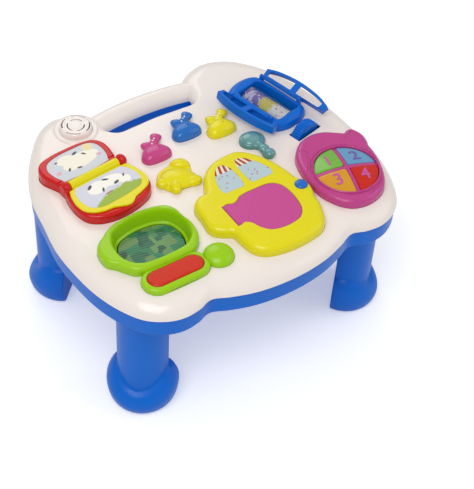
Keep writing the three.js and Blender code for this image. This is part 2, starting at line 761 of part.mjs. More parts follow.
const doorPost = disc(doorScrewPlace, postRadius - fitGap, floorTop + fitGap, boxTop + shellWall, 8);
const baseOuter = plate(bandOutline, bandBottom, seamHeight).add(handleHalf(0, handleDrop, handleReach, 1));
const baseHollow = plate(inset(bandOutline, shellWall), floorTop, seamHeight + overrun)
  .add(handleHalf(shellWall, handleDrop, handleReach - shellWall, 1));
addPart('base_shell', cut(cut(cut(baseOuter, [baseHollow]).add(joined([...posts, batteryBox])), [
  plate(boxInner, bandBottom - overrun, boxTop),
]).add(doorPost), [
  disc(doorScrewPlace, pilotRadius, bandBottom, floorTop + screwLength, 8),
  plate(around(switchX, switchY, switchHalfLength, switchHalfWidth),
    bandBottom - overrun, floorTop + overrun),
  ...legs.map(({ place, turn }) => plate(
    dSection(plugRadius + fitGap, plugFlat + fitGap, turn, place), bandBottom - overrun, floorTop + overrun)),
  ...screwPlaces.map((place) => disc(place, pilotRadius, bandBottom - overrun, floorTop + overrun, 8)),
]), blue);

// Legs: hollow blow-moulded columns whose plugs push up into the base
const footProfileShares = [
  [0.85, 0], [0.93, 0.12], [0.985, 0.32], [1, 0.5], [0.97, 0.66], [0.89, 0.82], [0.8, 0.93], [0.7, 1],
];
// The cuff dips on the side away from the flat
const dipped = (points, place, turn) => points.map((point) => {
  const out = spot(point.x, point.y).sub(place).rotateAround(middle, -turn);
  const front = Math.max(0, -out.x / out.length());
  return new THREE.Vector3(point.x, point.y, point.z * (1 - cuffDipShare * front ** 2));
});
legs.forEach(({ name, place, turn }) => {
  const section = (radius, flat, z) => atHeight(dSection(radius, flat, turn, place), z);
  const outer = loft([
    ...footProfileShares.map(([r, z]) => dipped(section(
      Math.max(r * footRadius, columnRadius), flatOffset, z * footHeight), place, turn)),
    section(columnRadius, flatOffset, bandBottom),
  ]);
  const plug = loft([
    section(plugRadius, plugFlat, bandBottom - plugHeight),
    section(plugRadius, plugFlat, bandBottom + plugHeight),
  ]);
  const hollow = loft([
    section(plugRadius - legWall, plugFlat - legWall, legWall),
    section(plugRadius - legWall, plugFlat - legWall, bandBottom + plugHeight + overrun),
  ]);
  addPart(name, outer.add(plug).subtract(hollow), blue);
});

// Screws
const screw = (place, headBottom) => joined([
  disc(place, screwHeadRadius, headBottom, headBottom + screwHeadHeight, 8),
  disc(place, screwRadius, headBottom + screwHeadHeight / 2, headBottom + screwHeadHeight + screwLength, 8),
]);
screwPlaces.forEach((place, i) => {
  addPart(`shell_screw_${i + 1}`, screw(place, bandBottom - screwHeadHeight), steel);
});
addPart('battery_door_screw', screw(doorScrewPlace, bandBottom - screwHeadHeight), steel);

// Batteries, their contacts and door
addPart('battery_door', plate(inset(boxInner, fitGap), bandBottom, floorTop)
  .subtract(disc(doorScrewPlace, pilotRadius, bandBottom - overrun, floorTop + overrun, 8)), blue);
for (let i = 0; i < batteryCount; i += 1) {
  const y = batteryPlace.y + (i - (batteryCount - 1) / 2) * 2 * (batteryRadius + batteryGap / 2);
  const z = floorTop + fitGap + batteryRadius;
  const tip = batteryRadius / 3;
  const way = i % 2 ? -1 : 1;
  const end = batteryLength / 2;
  const at = (x) => new THREE.Vector3(x, y, z);
  addPart(`battery_${i + 1}`, joined([
    rod(at(-way * end), at(way * (end - tip / 2)), batteryRadius, 14),
    rod(at(0), at(way * end), tip, 8),
  ]), steel);
}
const contactThickness = 0.8;
[['battery_contact_left', -1], ['battery_contact_right', 1]].forEach(([name, side]) => {
  const near = batteryLength / 2 + fitGap;
  const far = near + contactThickness;
  const margin = batteryGap;
  addPart(name, plate(rectangle(
    Math.min(side * near, side * far), batteryPlace.y - boxHalfDepth + margin,
    Math.max(side * near, side * far), batteryPlace.y + boxHalfDepth - margin,
  ), floorTop + fitGap, boxTop - fitGap), steel);
});

// Power switch: a knob that slides along X in the underside
addPart('power_switch', joined([
  plate(rectangle(switchPlace.x - switchHalfLength + fitGap, switchPlace.y - switchHalfWidth + fitGap,
    switchPlace.x + switchHalfLength - switchTravel - fitGap, switchPlace.y + switchHalfWidth - fitGap),
  bandBottom + fitGap, floorTop),
  plate(rectangle(switchPlace.x - switchHalfLength + fitGap + switchKnob / 4, switchPlace.y - switchKnob / 2,
    switchPlace.x - switchHalfLength + fitGap + switchKnob, switchPlace.y + switchKnob / 2),
  bandBottom - switchKnob / 4, floorTop),
]), material('#202224'));

// Boards with their switch blocks, each under the stem that presses it
const green = material('#2c6e48', 0.5);
const switchBlock = 3;
const blockHeight = 3;
const stemBottom = (top) => top + blockHeight + stemGap + buttonTravel;
const board = (points, height, places) => joined([
  plate(points, height, height + boardThickness),
  ...places.map((place) => plate(
    rectangle(place.x - switchBlock, place.y - switchBlock, place.x + switchBlock, place.y + switchBlock),
    height, height + boardThickness + blockHeight)),
]);
const keyReach = dialRadius * keyStemShare;
const keyPlaces = [[-1, 1], [1, 1], [-1, -1], [1, -1]].map(([x, y]) => (
  spot(x * keyReach, y * keyReach).rotateAround(middle, dialTurn).add(dialPlace)));
addPart('main_board', board(mainBoard, boardHeight, [bellPlace, lampPlace, ...pouchPlaces]), green);
addPart('number_board', board(numberBoard, boardHeight, keyPlaces), green);
addPart('drum_board', board(drumBoard, drumBoardHeight, [drumPlace, stickKeyCentre]), green);

const stem = (place, top, from) => disc(place, stemRadius, stemBottom(top), from, 8);

// Speaker
const arcSlot = (radius, from, to, steps = 3) => {
  const points = [];
  const edge = (r, turnedBack) => {
    for (let i = 0; i <= steps; i += 1) {
      const share = turnedBack ? 1 - i / steps : i / steps;
      const angle = THREE.MathUtils.degToRad(from + (to - from) * share);
      points.push(spot(r * Math.cos(angle), r * Math.sin(angle)).add(speakerPlace));
    }
  };
  edge(radius + slotBreadth / 2, false);
  edge(radius - slotBreadth / 2, true);
  return plate(points, tableTop - driverDepth, tableTop + 2 * grilleRise);
};
const grilleTop = tableTop + grilleRise;
const grilleBottom = tableTop - shellWall;
const grilleShape = (wall) => lathed([
  [0, wall ? grilleBottom - overrun : grilleBottom],
  [grilleRadius - wall, wall ? grilleBottom - overrun : grilleBottom],
  [grilleRadius - wall, grilleTop - wall - grilleRise / 2],
  ...grilleEdgeShares.map(([r, drop]) => [
    grilleRadius * r - wall, grilleTop - wall - grilleRise * drop,
  ]),
  [0, grilleTop - wall],
], speakerPlace, 24);
addPart('speaker_grille', cut(grilleShape(0).subtract(grilleShape(grilleWall)), grilleRings.flatMap(
  ([share, ends]) => ends.filter((_, i) => i % 2 === 0).map((start, i) => (
    arcSlot(share * (grilleRadius - grilleWall), start, ends[2 * i + 1]))),
)), white);
const driverTop = grilleBottom - fitGap;
addPart('speaker_driver', lathed([
  [0, driverTop - driverDepth], [magnetRadius, driverTop - driverDepth],
  [magnetRadius, driverTop - driverDepth / 2], [driverRadius, driverTop - driverDepth / 5],
  [grilleRadius, driverTop - driverDepth / 5], [grilleRadius, driverTop],
  [driverRadius - grilleWall, driverTop], [magnetRadius / 2, driverTop - driverDepth / 4],
  [0, driverTop - driverDepth / 4],
], speakerPlace), material('#303236', 0.6));

// Book
const lug = (side) => {
  const near = barrelHalfLength + fitGap;
  const far = near + lugThickness;
  return joined([
    rod(bookAt(side * near, 0), bookAt(side * far, 0), lugRadius, 16),
    plate([bookAt(side * near, -lugRadius), bookAt(side * far, -lugRadius),
      bookAt(side * far, lugRadius), bookAt(side * near, lugRadius)]
      .map((point) => spot(point.x, point.y)), tableTop + fitGap, bookAxisHeight),
  ]);
};
const bookRim = outline(coverStickerShares, bookPlace, bookHalfWidth, bookReach, bookTurn);
const rearLobe = plate(rectangle(-bookHalfWidth - overrun, 2 * lugRadius,
  bookHalfWidth + overrun, bookReach).map((point) => (
  point.rotateAround(middle, bookTurn).add(bookPlace))), bookTop - bookEdge, bookTop + overrun);
const bookPinEnd = barrelHalfLength + lugThickness / 2;
const bookRod = (reach, radius, sides) => rod(bookAt(-reach, 0), bookAt(reach, 0), radius, sides);
addPart('book_base', cut(joined([
  rounded(bookOutline, tableTop - skirtDepth, bookTop, bookEdge),
  rounded(bookOutline, tableTop, bookTop + bookRimHeight, bookEdge).intersect(rearLobe),
  lug(-1),
  lug(1),
]), [
  plate(inset(bookRim, -fitGap), bookTop, bookTop + overrun),
  bookRod(barrelHalfLength + fitGap, barrelRadius + pageGap, 16),
  bookRod(bookPinEnd + fitGap, bookPinRadius + fitGap / 3, 12),
]), red);
addPart('book_hinge_pin', bookRod(bookPinEnd, bookPinRadius, 12), steel);
const pageBottom = bookTop + pageGap;
const pageTop = pageBottom + pageThickness;
const pageOutline = outline(pageShares, bookPlace, bookHalfWidth, bookReach, bookTurn);
const pageRoom = (lowX, lowY, highX, highY) => plate(
  rectangle(lowX, lowY, highX, highY).map((point) => {
    const place = bookAt(point.x, point.y);
    return spot(place.x, place.y);
  }), pageBottom - overrun, pageTop + overrun);
addPart('book_page', cut(joined([
  rounded(pageOutline, pageBottom, pageTop, pageThickness / 2)
    .subtract(pageRoom(-bookReach, -barrelRadius / 2, bookReach, bookReach)),
  bookRod(barrelHalfLength, barrelRadius, 16),
]), [
  bookRod(bookPinEnd + overrun, bookPinRadius + fitGap / 2, 12),
  pageRoom(-bookReach, -lugRadius - pageGap, -barrelHalfLength, bookReach),
  pageRoom(barrelHalfLength, -lugRadius - pageGap, bookReach, bookReach),
]), yellow);
const print = material('#c8d0d4', 0.4);
addPart('book_cover_sticker', plate(bookRim, bookTop, bookTop + stickerThickness), print);
addPart('book_page_sticker', plate(outline(pageStickerShares, bookPlace, bookHalfWidth, bookReach, bookTurn),
  pageTop, pageTop + stickerThickness), print);

// Drum and drumstick
const padOutline = inset(basinOutline, basinDraft + ledgeWidth);
const drumTop = tableTop + drumRise;
const collarTop = tableTop + collarRise;
const basin = loft([
  atHeight(inset(basinOutline, basinDraft), drumFloor),
  atHeight(inset(basinOutline, basinDraft / 2), drumTop - drumEdge),
  atHeight(basinOutline, drumTop - drumEdge / 3),
  atHeight(inset(basinOutline, -overrun / 3), drumTop + fitGap),
]);
addPart('drum_housing', cut(joined([
  rounded(drumOutline, drumBottom, drumTop, drumEdge),
  rounded(collarOutline, drumBottom, collarTop, drumEdge),
]), [
  basin,
  plate(inset(padOutline, -fitGap), drumBottom - overrun, drumFloor + overrun),
  plate(inset(pill(stickKeyCentre, stickKeyHalfLength, stickKeyHalfBreadth), -fitGap),
    drumBottom - overrun, collarTop + overrun),
  plate(inset(headOutline, -2 * fitGap), drumBottom - overrun, collarTop + overrun),
]), lime);
addPart('drum_pad', joined([
  plate(padOutline, drumFloor - padThickness, drumFloor),
  disc(drumPlace, stemRadius, stemBottom(drumBoardHeight + boardThickness), drumFloor - padThickness / 2, 8),
]), material('#2f9a5c', 0.2, 0.6));
const keyTop = tableTop + stickKeyRise;
addPart('drumstick_key', joined([
  rounded(pill(stickKeyCentre, stickKeyHalfLength, stickKeyHalfBreadth),
    drumBottom + 2 * buttonTravel, keyTop, stickKeyEdge, 2),
  stem(stickKeyCentre, drumBoardHeight + boardThickness, tableTop),
]), material('#d42400'));
addPart('drumstick_head', crowned(
  headOutline, tableTop - skirtDepth, tableTop, tableTop + headRise, headCrownShare, 4), lime);

// Bag-shaped buttons
const ellipsoid = (place, z, radii, turn) => {
  const ball = new THREE.SphereGeometry(1, 8, 5);
  ball.rotateX(Math.PI / 2);
  ball.scale(...radii);
  ball.rotateZ(turn);
  ball.translate(place.x, place.y, z);
  return solidOf(ball);
};
const neckShares = [0.67, 1, 0.55];
const lobeShares = [1, 0.75, 0.65];
const ofLobe = (shares) => shares.map((share) => share * bowLobe);
pouches.forEach(([name, place, finish, bowTurn]) => {
  const body = outline(pouchShares, place, pouchHalfWidth, pouchHalfDepth);
  const neck = place.clone().add(pouchNeck);
  const lobes = [-1, 1].map((side) => {
    const centre = spot(side * bowHalfSpan, bowRaise).rotateAround(middle, bowTurn).add(neck);
    return ellipsoid(centre, tableTop + bowHeight, ofLobe(lobeShares), bowTurn + side * bowFlare);
  });
  addPart(name, joined([
    crowned(body, tableTop - skirtDepth / 2, tableTop + pouchRise / 4, tableTop + pouchRise,
      pouchCrownShare, 3),
    ellipsoid(neck, tableTop + bowHeight, ofLobe(neckShares), 0),
    ...lobes,
    stem(place, boardTop, tableTop),
  ]), finish);
});

// Bell button and lamp lens
addPart('bell_button', joined([
  crowned(bellOutline, tableTop - skirtDepth / 2, tableTop + bellRise / 4, tableTop + bellRise,
    bellCrownShare, 3),
  stem(bellPlace, boardTop, tableTop),
]), yellow);
addPart('maraca_lamp', rounded(lampOutline, tableTop - skirtDepth / 2, tableTop + lampRise, lampEdge),
  material('#5fa8a0', 0.15, 0.7));

// House
const houseTop = tableTop + houseRise;
const doorTop = houseTop;
const doorBottom = doorTop - doorThickness;
const doorAxisHeight = doorTop - doorThickness / 2;
const recessFloor = doorBottom - doorGap - stickerThickness;
const doorOutline = outline(doorShares, doorPlace, doorHalfWidth, doorHalfDepth);
const bellCutRadius = bellButtonRadius + fitGap;
const windowOutlines = [windowLeftShares, windowRightShares].map((shares) => (
  outline(shares, windowPlace, windowHalfWidth, windowHalfDepth)));
const doorPinReach = overrun;
const doorAxis = (y) => new THREE.Vector3(doorAxisX, y, doorAxisHeight);
addPart('house_panel', cut(rounded(houseOutline, tableTop - skirtDepth, houseTop, houseEdge), [
  plate(inset(doorOutline, -doorGap), recessFloor, houseTop + overrun),
  plate(rectangle(doorAxisX - doorBarrelRadius - doorRelief, doorTabLow - doorGap,
    doorAxisX + doorBarrelRadius, doorTabHigh + doorGap), recessFloor, houseTop + overrun),
  rod(doorAxis(doorTabLow - doorPinReach - fitGap), doorAxis(doorTabHigh + doorPinReach + fitGap),
    doorPinRadius + fitGap / 2, 8),
  disc(bellButtonPlace, bellCutRadius, tableTop - skirtDepth - overrun, houseTop + overrun, 20),
  ...windowOutlines.map((points) => (
    plate(inset(points, -fitGap), houseTop - stickerThickness, houseTop + overrun))),
]), yellow);
addPart('house_door_pin', rod(doorAxis(doorTabLow - doorPinReach), doorAxis(doorTabHigh + doorPinReach),
  doorPinRadius, 8), steel);
addPart('house_door', cut(joined([
  plate(doorOutline, doorBottom, doorTop)
    .subtract(plate(rectangle(
      doorPlace.x - 2 * doorHalfWidth, doorTabLow - overrun, doorAxisX, doorTabHigh + overrun,
    ), doorBottom - overrun, doorTop + overrun)),
  rod(doorAxis(doorTabLow + fitGap), doorAxis(doorTabHigh - fitGap), doorBarrelRadius, 12),
]), [
  rod(doorAxis(doorTabLow - overrun), doorAxis(doorTabHigh + overrun), doorPinRadius + fitGap / 2, 8),
]), material('#cc5098'));
const pictureShare = 0.78;
const pictureOutline = doorOutline.map((point) => doorPlace.clone().lerp(point, pictureShare));
addPart('house_picture', plate(pictureOutline, recessFloor, recessFloor + stickerThickness), print);
['house_window_left', 'house_window_right'].forEach((name, i) => {
  addPart(name, plate(windowOutlines[i], houseTop - stickerThickness, houseTop), print);
});
addPart('doorbell_button', joined([
  crowned(circle(bellButtonPlace, bellButtonRadius, 16), houseTop - houseEdge, houseTop + stickerThickness,
    houseTop + bellButtonRise, bellButtonCrownShare, 3),
  disc(bellButtonPlace, stemRadius, tableTop - skirtDepth, houseTop, 8),
]), material('#1070cc'));

// Window frame, shutters and roller
const frameTop = tableTop + frameRise;
const hingeHeight = frameTop + hingeLift;
const ears = shutters.flatMap(({ side, hingeOffset }) => [-1, 1].map((end) => {
  const near = knuckleHalfLength + fitGap;
  const far = near + earThickness;
  return joined([
    rod(frameAt(side * hingeOffset, end * near, hingeHeight),
      frameAt(side * hingeOffset, end * far, hingeHeight), knuckleRadius, 12),
    plate(framePoints(side * hingeOffset - knuckleRadius, Math.min(end * near, end * far),
      side * hingeOffset + knuckleRadius, Math.max(end * near, end * far)), tableTop, hingeHeight),
  ]);
}));
const pinEnd = knuckleHalfLength + earThickness / 2;
const rollerRod = (from, to, radius, sides) => (
  rod(frameAt(rollerAcross, from), frameAt(rollerAcross, to), radius, sides));
const hingePin = (across, reach, radius) => rod(
  frameAt(across, -reach, hingeHeight),
  frameAt(across, reach, hingeHeight),
  radius,
  8,
);
addPart('window_frame', cut(rounded(frameOutline, frameBottom, frameTop, frameEdge).add(joined(ears)), [
  plate(framePoints(-wellHalfWidth, wellFront, wellHalfWidth, wellRear),
    frameBottom - overrun, frameTop + overrun),
  rollerRod(-frameHalfDepth - overrun, wellRear + 2 * overrun, axleRadius + fitGap, 16),
  ...shutters.map(({ side, hingeOffset }) => (
    hingePin(side * hingeOffset, pinEnd + fitGap, shutterPinRadius + fitGap / 2))),
]), blue);
shutters.forEach(({ label, side, centre, hingeOffset, tilt }) => {
  const across = side * hingeOffset;
  const turn = new THREE.Matrix4().makeRotationZ(frameTurn)
    .setPosition(...frameAt(across, 0, hingeHeight).toArray())
    .multiply(new THREE.Matrix4().makeRotationY(-side * tilt));
  const unturn = turn.clone().invert();
  const leaf = (points, low, high) => loft(
    [low, high].map((z) => atHeight(points, z).map((point) => point.applyMatrix4(turn))),
    (point) => {
      const local = point.clone().applyMatrix4(unturn);
      return spot(local.x, local.y);
    },
  );
  const place = spot(0, centre);
  const leafPoints = (shares) => {
    const points = shares.map(([x, y]) => spot(side * x * shutterWidth, y * shutterHalfLength).add(place));
    return isClockwise(points) ? points.reverse() : points;
  };
  const edge = leafPoints(shutterShares);
  const pane = leafPoints(paneShares);
  const top = shutterPlate / 2;
  const bar = leaf(rectangle(-shutterWidth, centre - shutterBar / 2, shutterWidth, centre + shutterBar / 2),
    -shutterDepth, shutterDepth);
  const web = leaf(rectangle(Math.min(0, side * 2 * knuckleRadius), -knuckleHalfLength,
    Math.max(0, side * 2 * knuckleRadius), knuckleHalfLength), -top, top);
  addPart(`shutter_${label}`, cut(joined([
    cut(leaf(edge, top - shutterDepth, top), [
      leaf(inset(edge, shutterWall), -2 * shutterDepth, -top),
      leaf(rectangle(Math.min(0, side * shutterWidth / 2), centre - paneEnd,
        Math.max(0, side * shutterWidth / 2), centre + paneEnd), -2 * shutterDepth, -top),
    ]),
    web,
  ]), [
    leaf(pane, -shutterDepth, shutterDepth).subtract(bar),
  ]).add(hingePin(across, knuckleHalfLength, knuckleRadius))
    .subtract(hingePin(across, shutterHalfLength, shutterPinRadius + fitGap / 2)), blue);
  addPart(`shutter_pin_${label}`, hingePin(across, pinEnd, shutterPinRadius), steel);
});
const rollerFront = wellFront + rollerEndGap;
const rollerRear = wellRear - rollerEndGap;
addPart('roller_tube', rollerRod(rollerFront, rollerRear, rollerRadius, 20)
  .subtract(rollerRod(rollerFront - overrun, rollerRear + overrun, rollerRadius - rollerWall, 20)),
material('#d8e4ec', 0.1, 0.35));
const drumInner = rollerRadius - rollerWall - fitGap;
addPart('roller_drum', joined([
  rollerRod(rollerFront, rollerRear, printRadius, 20),
  rollerRod(rollerFront, rollerFront + rollerWall, drumInner, 20),
  rollerRod(rollerRear - rollerWall, rollerRear, drumInner, 20),
]).subtract(rollerRod(rollerFront - overrun, rollerRear + overrun, axleRadius + fitGap / 3, 16)),
material('#6a58b0', 0.4));
addPart('roller_axle', rollerRod(wheelFront, wellRear + overrun, axleRadius, 16), steel);
const wheelPoints = [];
for (let i = 0; i < 2 * wheelTeeth; i += 1) {
  const angle = (Math.PI * i) / wheelTeeth;
  const radius = wheelRadius - (i % 2 ? toothDepth : 0);
  wheelPoints.push(spot(radius * Math.cos(angle), radius * Math.sin(angle)));
}
const wheelRing = (along) => (
  wheelPoints.map((point) => frameAt(rollerAcross + point.x, along, rollerHeight + point.y)));
addPart('roller_wheel', loft([wheelRing(wheelFront), wheelRing(wheelRear)],
  (point) => new THREE.Vector2(point.x, point.z))
  .subtract(rollerRod(wheelFront - overrun, wheelRear + overrun, axleRadius + fitGap / 3, 16)), blue);

// Number panel and keys
const panelTop = tableTop + panelRise;
const dialOutline = circle(dialPlace, dialRadius + fitGap, 32);
const lip = disc(dialPlace, dialRadius + dialLip, panelTop - dialLip, panelTop + dialLipRise, 32);
const crossArms = [0, Math.PI / 2].map((turn) => plate(
  rectangle(-dialRadius - dialLip / 2, -keySpacing + fitGap, dialRadius + dialLip / 2, keySpacing - fitGap)
    .map((point) => point.rotateAround(middle, dialTurn + turn).add(dialPlace)),
  tableTop - panelSkirt / 2, tableTop + 2 * keyCrownRise));
const keyDome = (low, lift) => lathed([
  [0, low], [dialRadius, low], [dialRadius, tableTop + keyEdgeRise + lift],
  ...keyDomeShares.map((share) => [
    dialRadius * share,
    tableTop + lift + keyEdgeRise + (keyCrownRise - keyEdgeRise) * (1 - share ** 2),
  ]),
  [0, tableTop + keyCrownRise + lift],
], dialPlace, 32);
const keyLow = tableTop - panelSkirt / 2;
addPart('number_panel', cut(joined([
  rounded(panelOutline, tableTop - panelSkirt, panelTop, panelEdge),
  lip,
]), [
  plate(dialOutline, tableTop - panelSkirt - overrun, panelTop + overrun),
]).add(joined(crossArms).intersect(keyDome(keyLow, -armDrop).add(
  disc(dialPlace, dialRadius + dialLip / 2, keyLow, tableTop, 32)))), magenta);
const keyFinishes = ['#78c840', '#70a8d0', '#e0a020', '#d01000'];
[[-1, 1], [1, 1], [-1, -1], [1, -1]].forEach(([x, y], i) => {
  const corner = [[0, 0], [2, 0], [2, 2], [0, 2]].map(([a, b]) => spot(
    x * (keySpacing + a * dialRadius), y * (keySpacing + b * dialRadius),
  ).rotateAround(middle, dialTurn).add(dialPlace));
  const wedge = plate(isClockwise(corner) ? corner.reverse() : corner,
    keyLow - overrun, tableTop + 2 * keyCrownRise);
  addPart(`key_${i + 1}`, joined([
    keyDome(keyLow, 0).intersect(wedge),
    stem(keyPlaces[i], boardTop, tableTop),
  ]), material(keyFinishes[i]));
});

export default group;
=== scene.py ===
# Look of a musical activity table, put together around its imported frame.
# Metres, +Z up. The front is at -Y, and zero is on the floor under the table's middle.
import json
import math

import bmesh
import bpy
from mathutils import Matrix, Vector

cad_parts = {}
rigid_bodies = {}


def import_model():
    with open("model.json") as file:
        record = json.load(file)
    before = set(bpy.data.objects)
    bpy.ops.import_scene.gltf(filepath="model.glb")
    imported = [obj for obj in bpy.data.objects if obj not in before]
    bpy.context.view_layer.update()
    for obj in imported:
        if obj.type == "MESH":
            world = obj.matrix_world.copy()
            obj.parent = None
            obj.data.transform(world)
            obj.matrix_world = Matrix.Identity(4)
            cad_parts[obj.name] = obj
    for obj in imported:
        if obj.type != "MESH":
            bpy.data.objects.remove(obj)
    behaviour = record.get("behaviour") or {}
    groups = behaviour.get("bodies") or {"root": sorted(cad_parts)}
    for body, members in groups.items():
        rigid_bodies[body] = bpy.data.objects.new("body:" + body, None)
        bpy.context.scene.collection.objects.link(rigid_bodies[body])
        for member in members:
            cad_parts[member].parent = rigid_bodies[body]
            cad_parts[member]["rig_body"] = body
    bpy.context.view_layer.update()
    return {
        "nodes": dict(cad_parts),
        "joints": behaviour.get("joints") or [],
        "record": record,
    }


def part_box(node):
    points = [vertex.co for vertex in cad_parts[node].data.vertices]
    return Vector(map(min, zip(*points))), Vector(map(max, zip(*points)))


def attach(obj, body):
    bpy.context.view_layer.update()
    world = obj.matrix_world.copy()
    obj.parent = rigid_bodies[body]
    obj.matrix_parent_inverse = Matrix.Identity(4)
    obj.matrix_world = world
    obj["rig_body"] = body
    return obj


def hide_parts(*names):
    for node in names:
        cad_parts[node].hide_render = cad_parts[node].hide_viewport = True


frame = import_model()
record = frame["record"]
mounts = {mount["name"]: Vector(mount["pos_m"]) for mount in record["mounts"]}
slots = {part["node"]: part["material_slot"] for part in record["subparts"]}
joints = {joint["name"]: joint for joint in frame["joints"]}
finishes = {}

# Top shell: one white injection-moulded ABS cover with a domed edge, two rear ears and the upper half
# of the handle between them. It is screwed to the base from below, and the play pieces fill its openings.
table_top = mounts["table_top"].z
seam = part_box("base_shell")[1].z
half_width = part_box("top_shell")[1].x
half_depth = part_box("top_shell")[1].y
shell_wall = 0.0024
opening_gap = 0.0003
button_skirt = 0.0045
button_foot = 0.006
overrun = 0.002
above = table_top + 0.02
below = seam - 0.03
moulded_specular = 0.35
core = 0.0001


def linear(colour):
    channels = [int(colour[i:i + 2], 16) / 255 for i in (1, 3, 5)]
    return [c / 12.92 if c <= 0.04045 else ((c + 0.055) / 1.055) ** 2.4 for c in channels] + [1.0]


def add(tree, kind, inputs=None, **settings):
    """Adds a node; an input may be a value or another node's output."""
    node = tree.nodes.new(kind)
    for key, value in settings.items():
        setattr(node, key, value)
    for key, value in (inputs or {}).items():
        if isinstance(value, bpy.types.NodeSocket):
            tree.links.new(value, node.inputs[key])
        else:
            node.inputs[key].default_value = value
    return node


def new_material(name):
    material = bpy.data.materials.new(name)
    material.use_nodes = True
    material.node_tree.nodes.clear()
    place = add(material.node_tree, "ShaderNodeTexCoord").outputs["Object"]
    return material, material.node_tree, place


def noise(tree, place, scale, detail=2.0, distortion=0.0):
    inputs = {"Vector": place, "Scale": scale, "Detail": detail, "Distortion": distortion}
    return add(tree, "ShaderNodeTexNoise", inputs).outputs["Fac"]


def ranged(tree, value, low, high, to_low=0.0, to_high=1.0):
    inputs = {"Value": value, "From Min": low, "From Max": high, "To Min": to_low, "To Max": to_high}
    return add(tree, "ShaderNodeMapRange", inputs).outputs[0]


def mixed(tree, share, below_colour, above_colour):
    """The second colour where the share is 1, the first where it is 0."""
    inputs = {"Factor": share, 6: below_colour, 7: above_colour}
    return add(tree, "ShaderNodeMix", inputs, data_type="RGBA").outputs[2]


def sum_of(tree, kind, *values):
    return add(tree, "ShaderNodeMath", dict(enumerate(values)), operation=kind).outputs[0]


def surface(tree, colour, roughness, height, depth, **extra):
    """Closes a material with one shader and the relief of its surface."""
    bump = add(tree, "ShaderNodeBump", {"Height": height, "Strength": 0.35, "Distance": depth})
    inputs = {"Base Color": colour, "Roughness": roughness, "Normal": bump.outputs["Normal"]}
    for key, value in extra.items():
        inputs[key.replace("_", " ").title().replace("Ior", "IOR")] = value
    shader = add(tree, "ShaderNodeBsdfPrincipled", inputs)
    add(tree, "ShaderNodeOutputMaterial", {"Surface": shader.outputs[0]})


def plastic(name, colour, roughness=0.28, coat=0.12, mottle=0.04, shine=moulded_specular, print_on=None):
    """Injection-moulded plastic: flow clouds 70 mm wide, mould grain drawn coarse at 0.7 mm, dull scuffs."""
    material, tree, place = new_material(name)
    cloud = noise(tree, place, 14.0, 4.0)
    grain = noise(tree, place, 1400.0)
    scuffs = ranged(tree, noise(tree, place, 240.0, 3.0, 2.5), 0.58, 0.72, 0.0, 0.1)
    deep = [c * (1 - mottle) for c in linear(colour)[:3]] + [1.0]
    light = [min(1.0, c * (1 + mottle)) for c in linear(colour)[:3]] + [1.0]
    gloss = sum_of(tree, "ADD", ranged(tree, cloud, 0.0, 1.0, roughness - 0.05, roughness + 0.05), scuffs)
    hue = mixed(tree, cloud, deep, light)
    if print_on:
        split = add(tree, "ShaderNodeSeparateXYZ", {"Vector": place})
        hue = print_on(tree, split.outputs["X"], split.outputs["Y"], hue)
    surface(tree, hue, gloss, grain, 0.00002, coat_weight=coat, coat_roughness=0.1, specular_ior_level=shine)
    return material


def area_of(points):
    return sum(a.x * b.y - b.x * a.y for a, b in zip(points, points[1:] + points[:1])) / 2


def flat_loops(node, level, local=Matrix.Identity(4)):
    """Outlines of a CAD node's flat faces at one height, the largest first."""
    mesh = frame["nodes"][node].data
    spots = [tuple(round(c, 6) for c in local @ vertex.co) for vertex in mesh.vertices]
    edges = set()
    for face in mesh.polygons:
        corners = [spots[i] for i in face.vertices]
        if all(abs(corner[2] - level) < 0.00003 for corner in corners):
            for a, b in zip(corners, corners[1:] + corners[:1]):
                edges.discard((b, a)) if (b, a) in edges else edges.add((a, b))
    follow = dict(edges)
    loops = []
    while follow:
        start, here = follow.popitem()
        loop = [start]
        while here != start and here in follow:
            loop.append(here)
            here = follow.pop(here)
        points = [Vector(corner[:2]) for corner in loop]
        loops.append(points if area_of(points) > 0 else points[::-1])
    return sorted(loops, key=lambda points: -area_of(points))


def smooth(points, per_span=6, sharp=55):
    """A closed curve through the points of an outline; corners above the sharp angle stay corners."""
    count = len(points)
    turns = [(points[i] - points[i - 1]).angle(points[(i + 1) % count] - points[i], 0) for i in range(count)]
    is_corner = [turn > math.radians(sharp) for turn in turns]
    curve = []
    for i in range(count):
        b, c = points[i], points[(i + 1) % count]
        a = b * 2 - c if is_corner[i] else points[i - 1]
        d = c * 2 - b if is_corner[(i + 1) % count] else points[(i + 2) % count]
        p, q, r = [max(1e-6, math.sqrt((high - low).length)) for low, high in ((a, b), (b, c), (c, d))]
        start = ((b - a) / p - (c - a) / (p + q) + (c - b) / q) * q
        end = ((c - b) / q - (d - b) / (q + r) + (d - c) / r) * q
        for k in range(per_span):
            t = k / per_span
            curve.append(b * (2 * t**3 - 3 * t**2 + 1) + start * (t**3 - 2 * t**2 + t)
                         + c * (3 * t**2 - 2 * t**3) + end * (t**3 - t**2))
    return curve


def inset(points, distance):
    """Moves a counterclockwise outline inwards."""
    moved = []
    for i, point in enumerate(points):
        first = (point - points[i - 1]).normalized()
        second = (points[(i + 1) % len(points)] - point).normalized()
        normal = Vector((-first.y - second.y, first.x + second.x))
        moved.append(point + normal * (distance / max(0.3, 1 + first.dot(second))))
    return moved


def round_angles(count):
    return [2 * math.pi * i / count for i in range(count)]


def quarter_angles(steps):
    return [math.pi / 2 * step / steps for step in range(steps + 1)]


def circle(centre, radius, sides=64):
    return [Vector((centre[0] + radius * math.cos(a), centre[1] + radius * math.sin(a)))
            for a in round_angles(sides)]


def at_height(points, z):
    return [Vector((point.x, point.y, z)) for point in points]


def new_piece(name, mesh):
    piece = bpy.data.objects.new(name, mesh)
    bpy.context.scene.collection.objects.link(piece)
    return piece


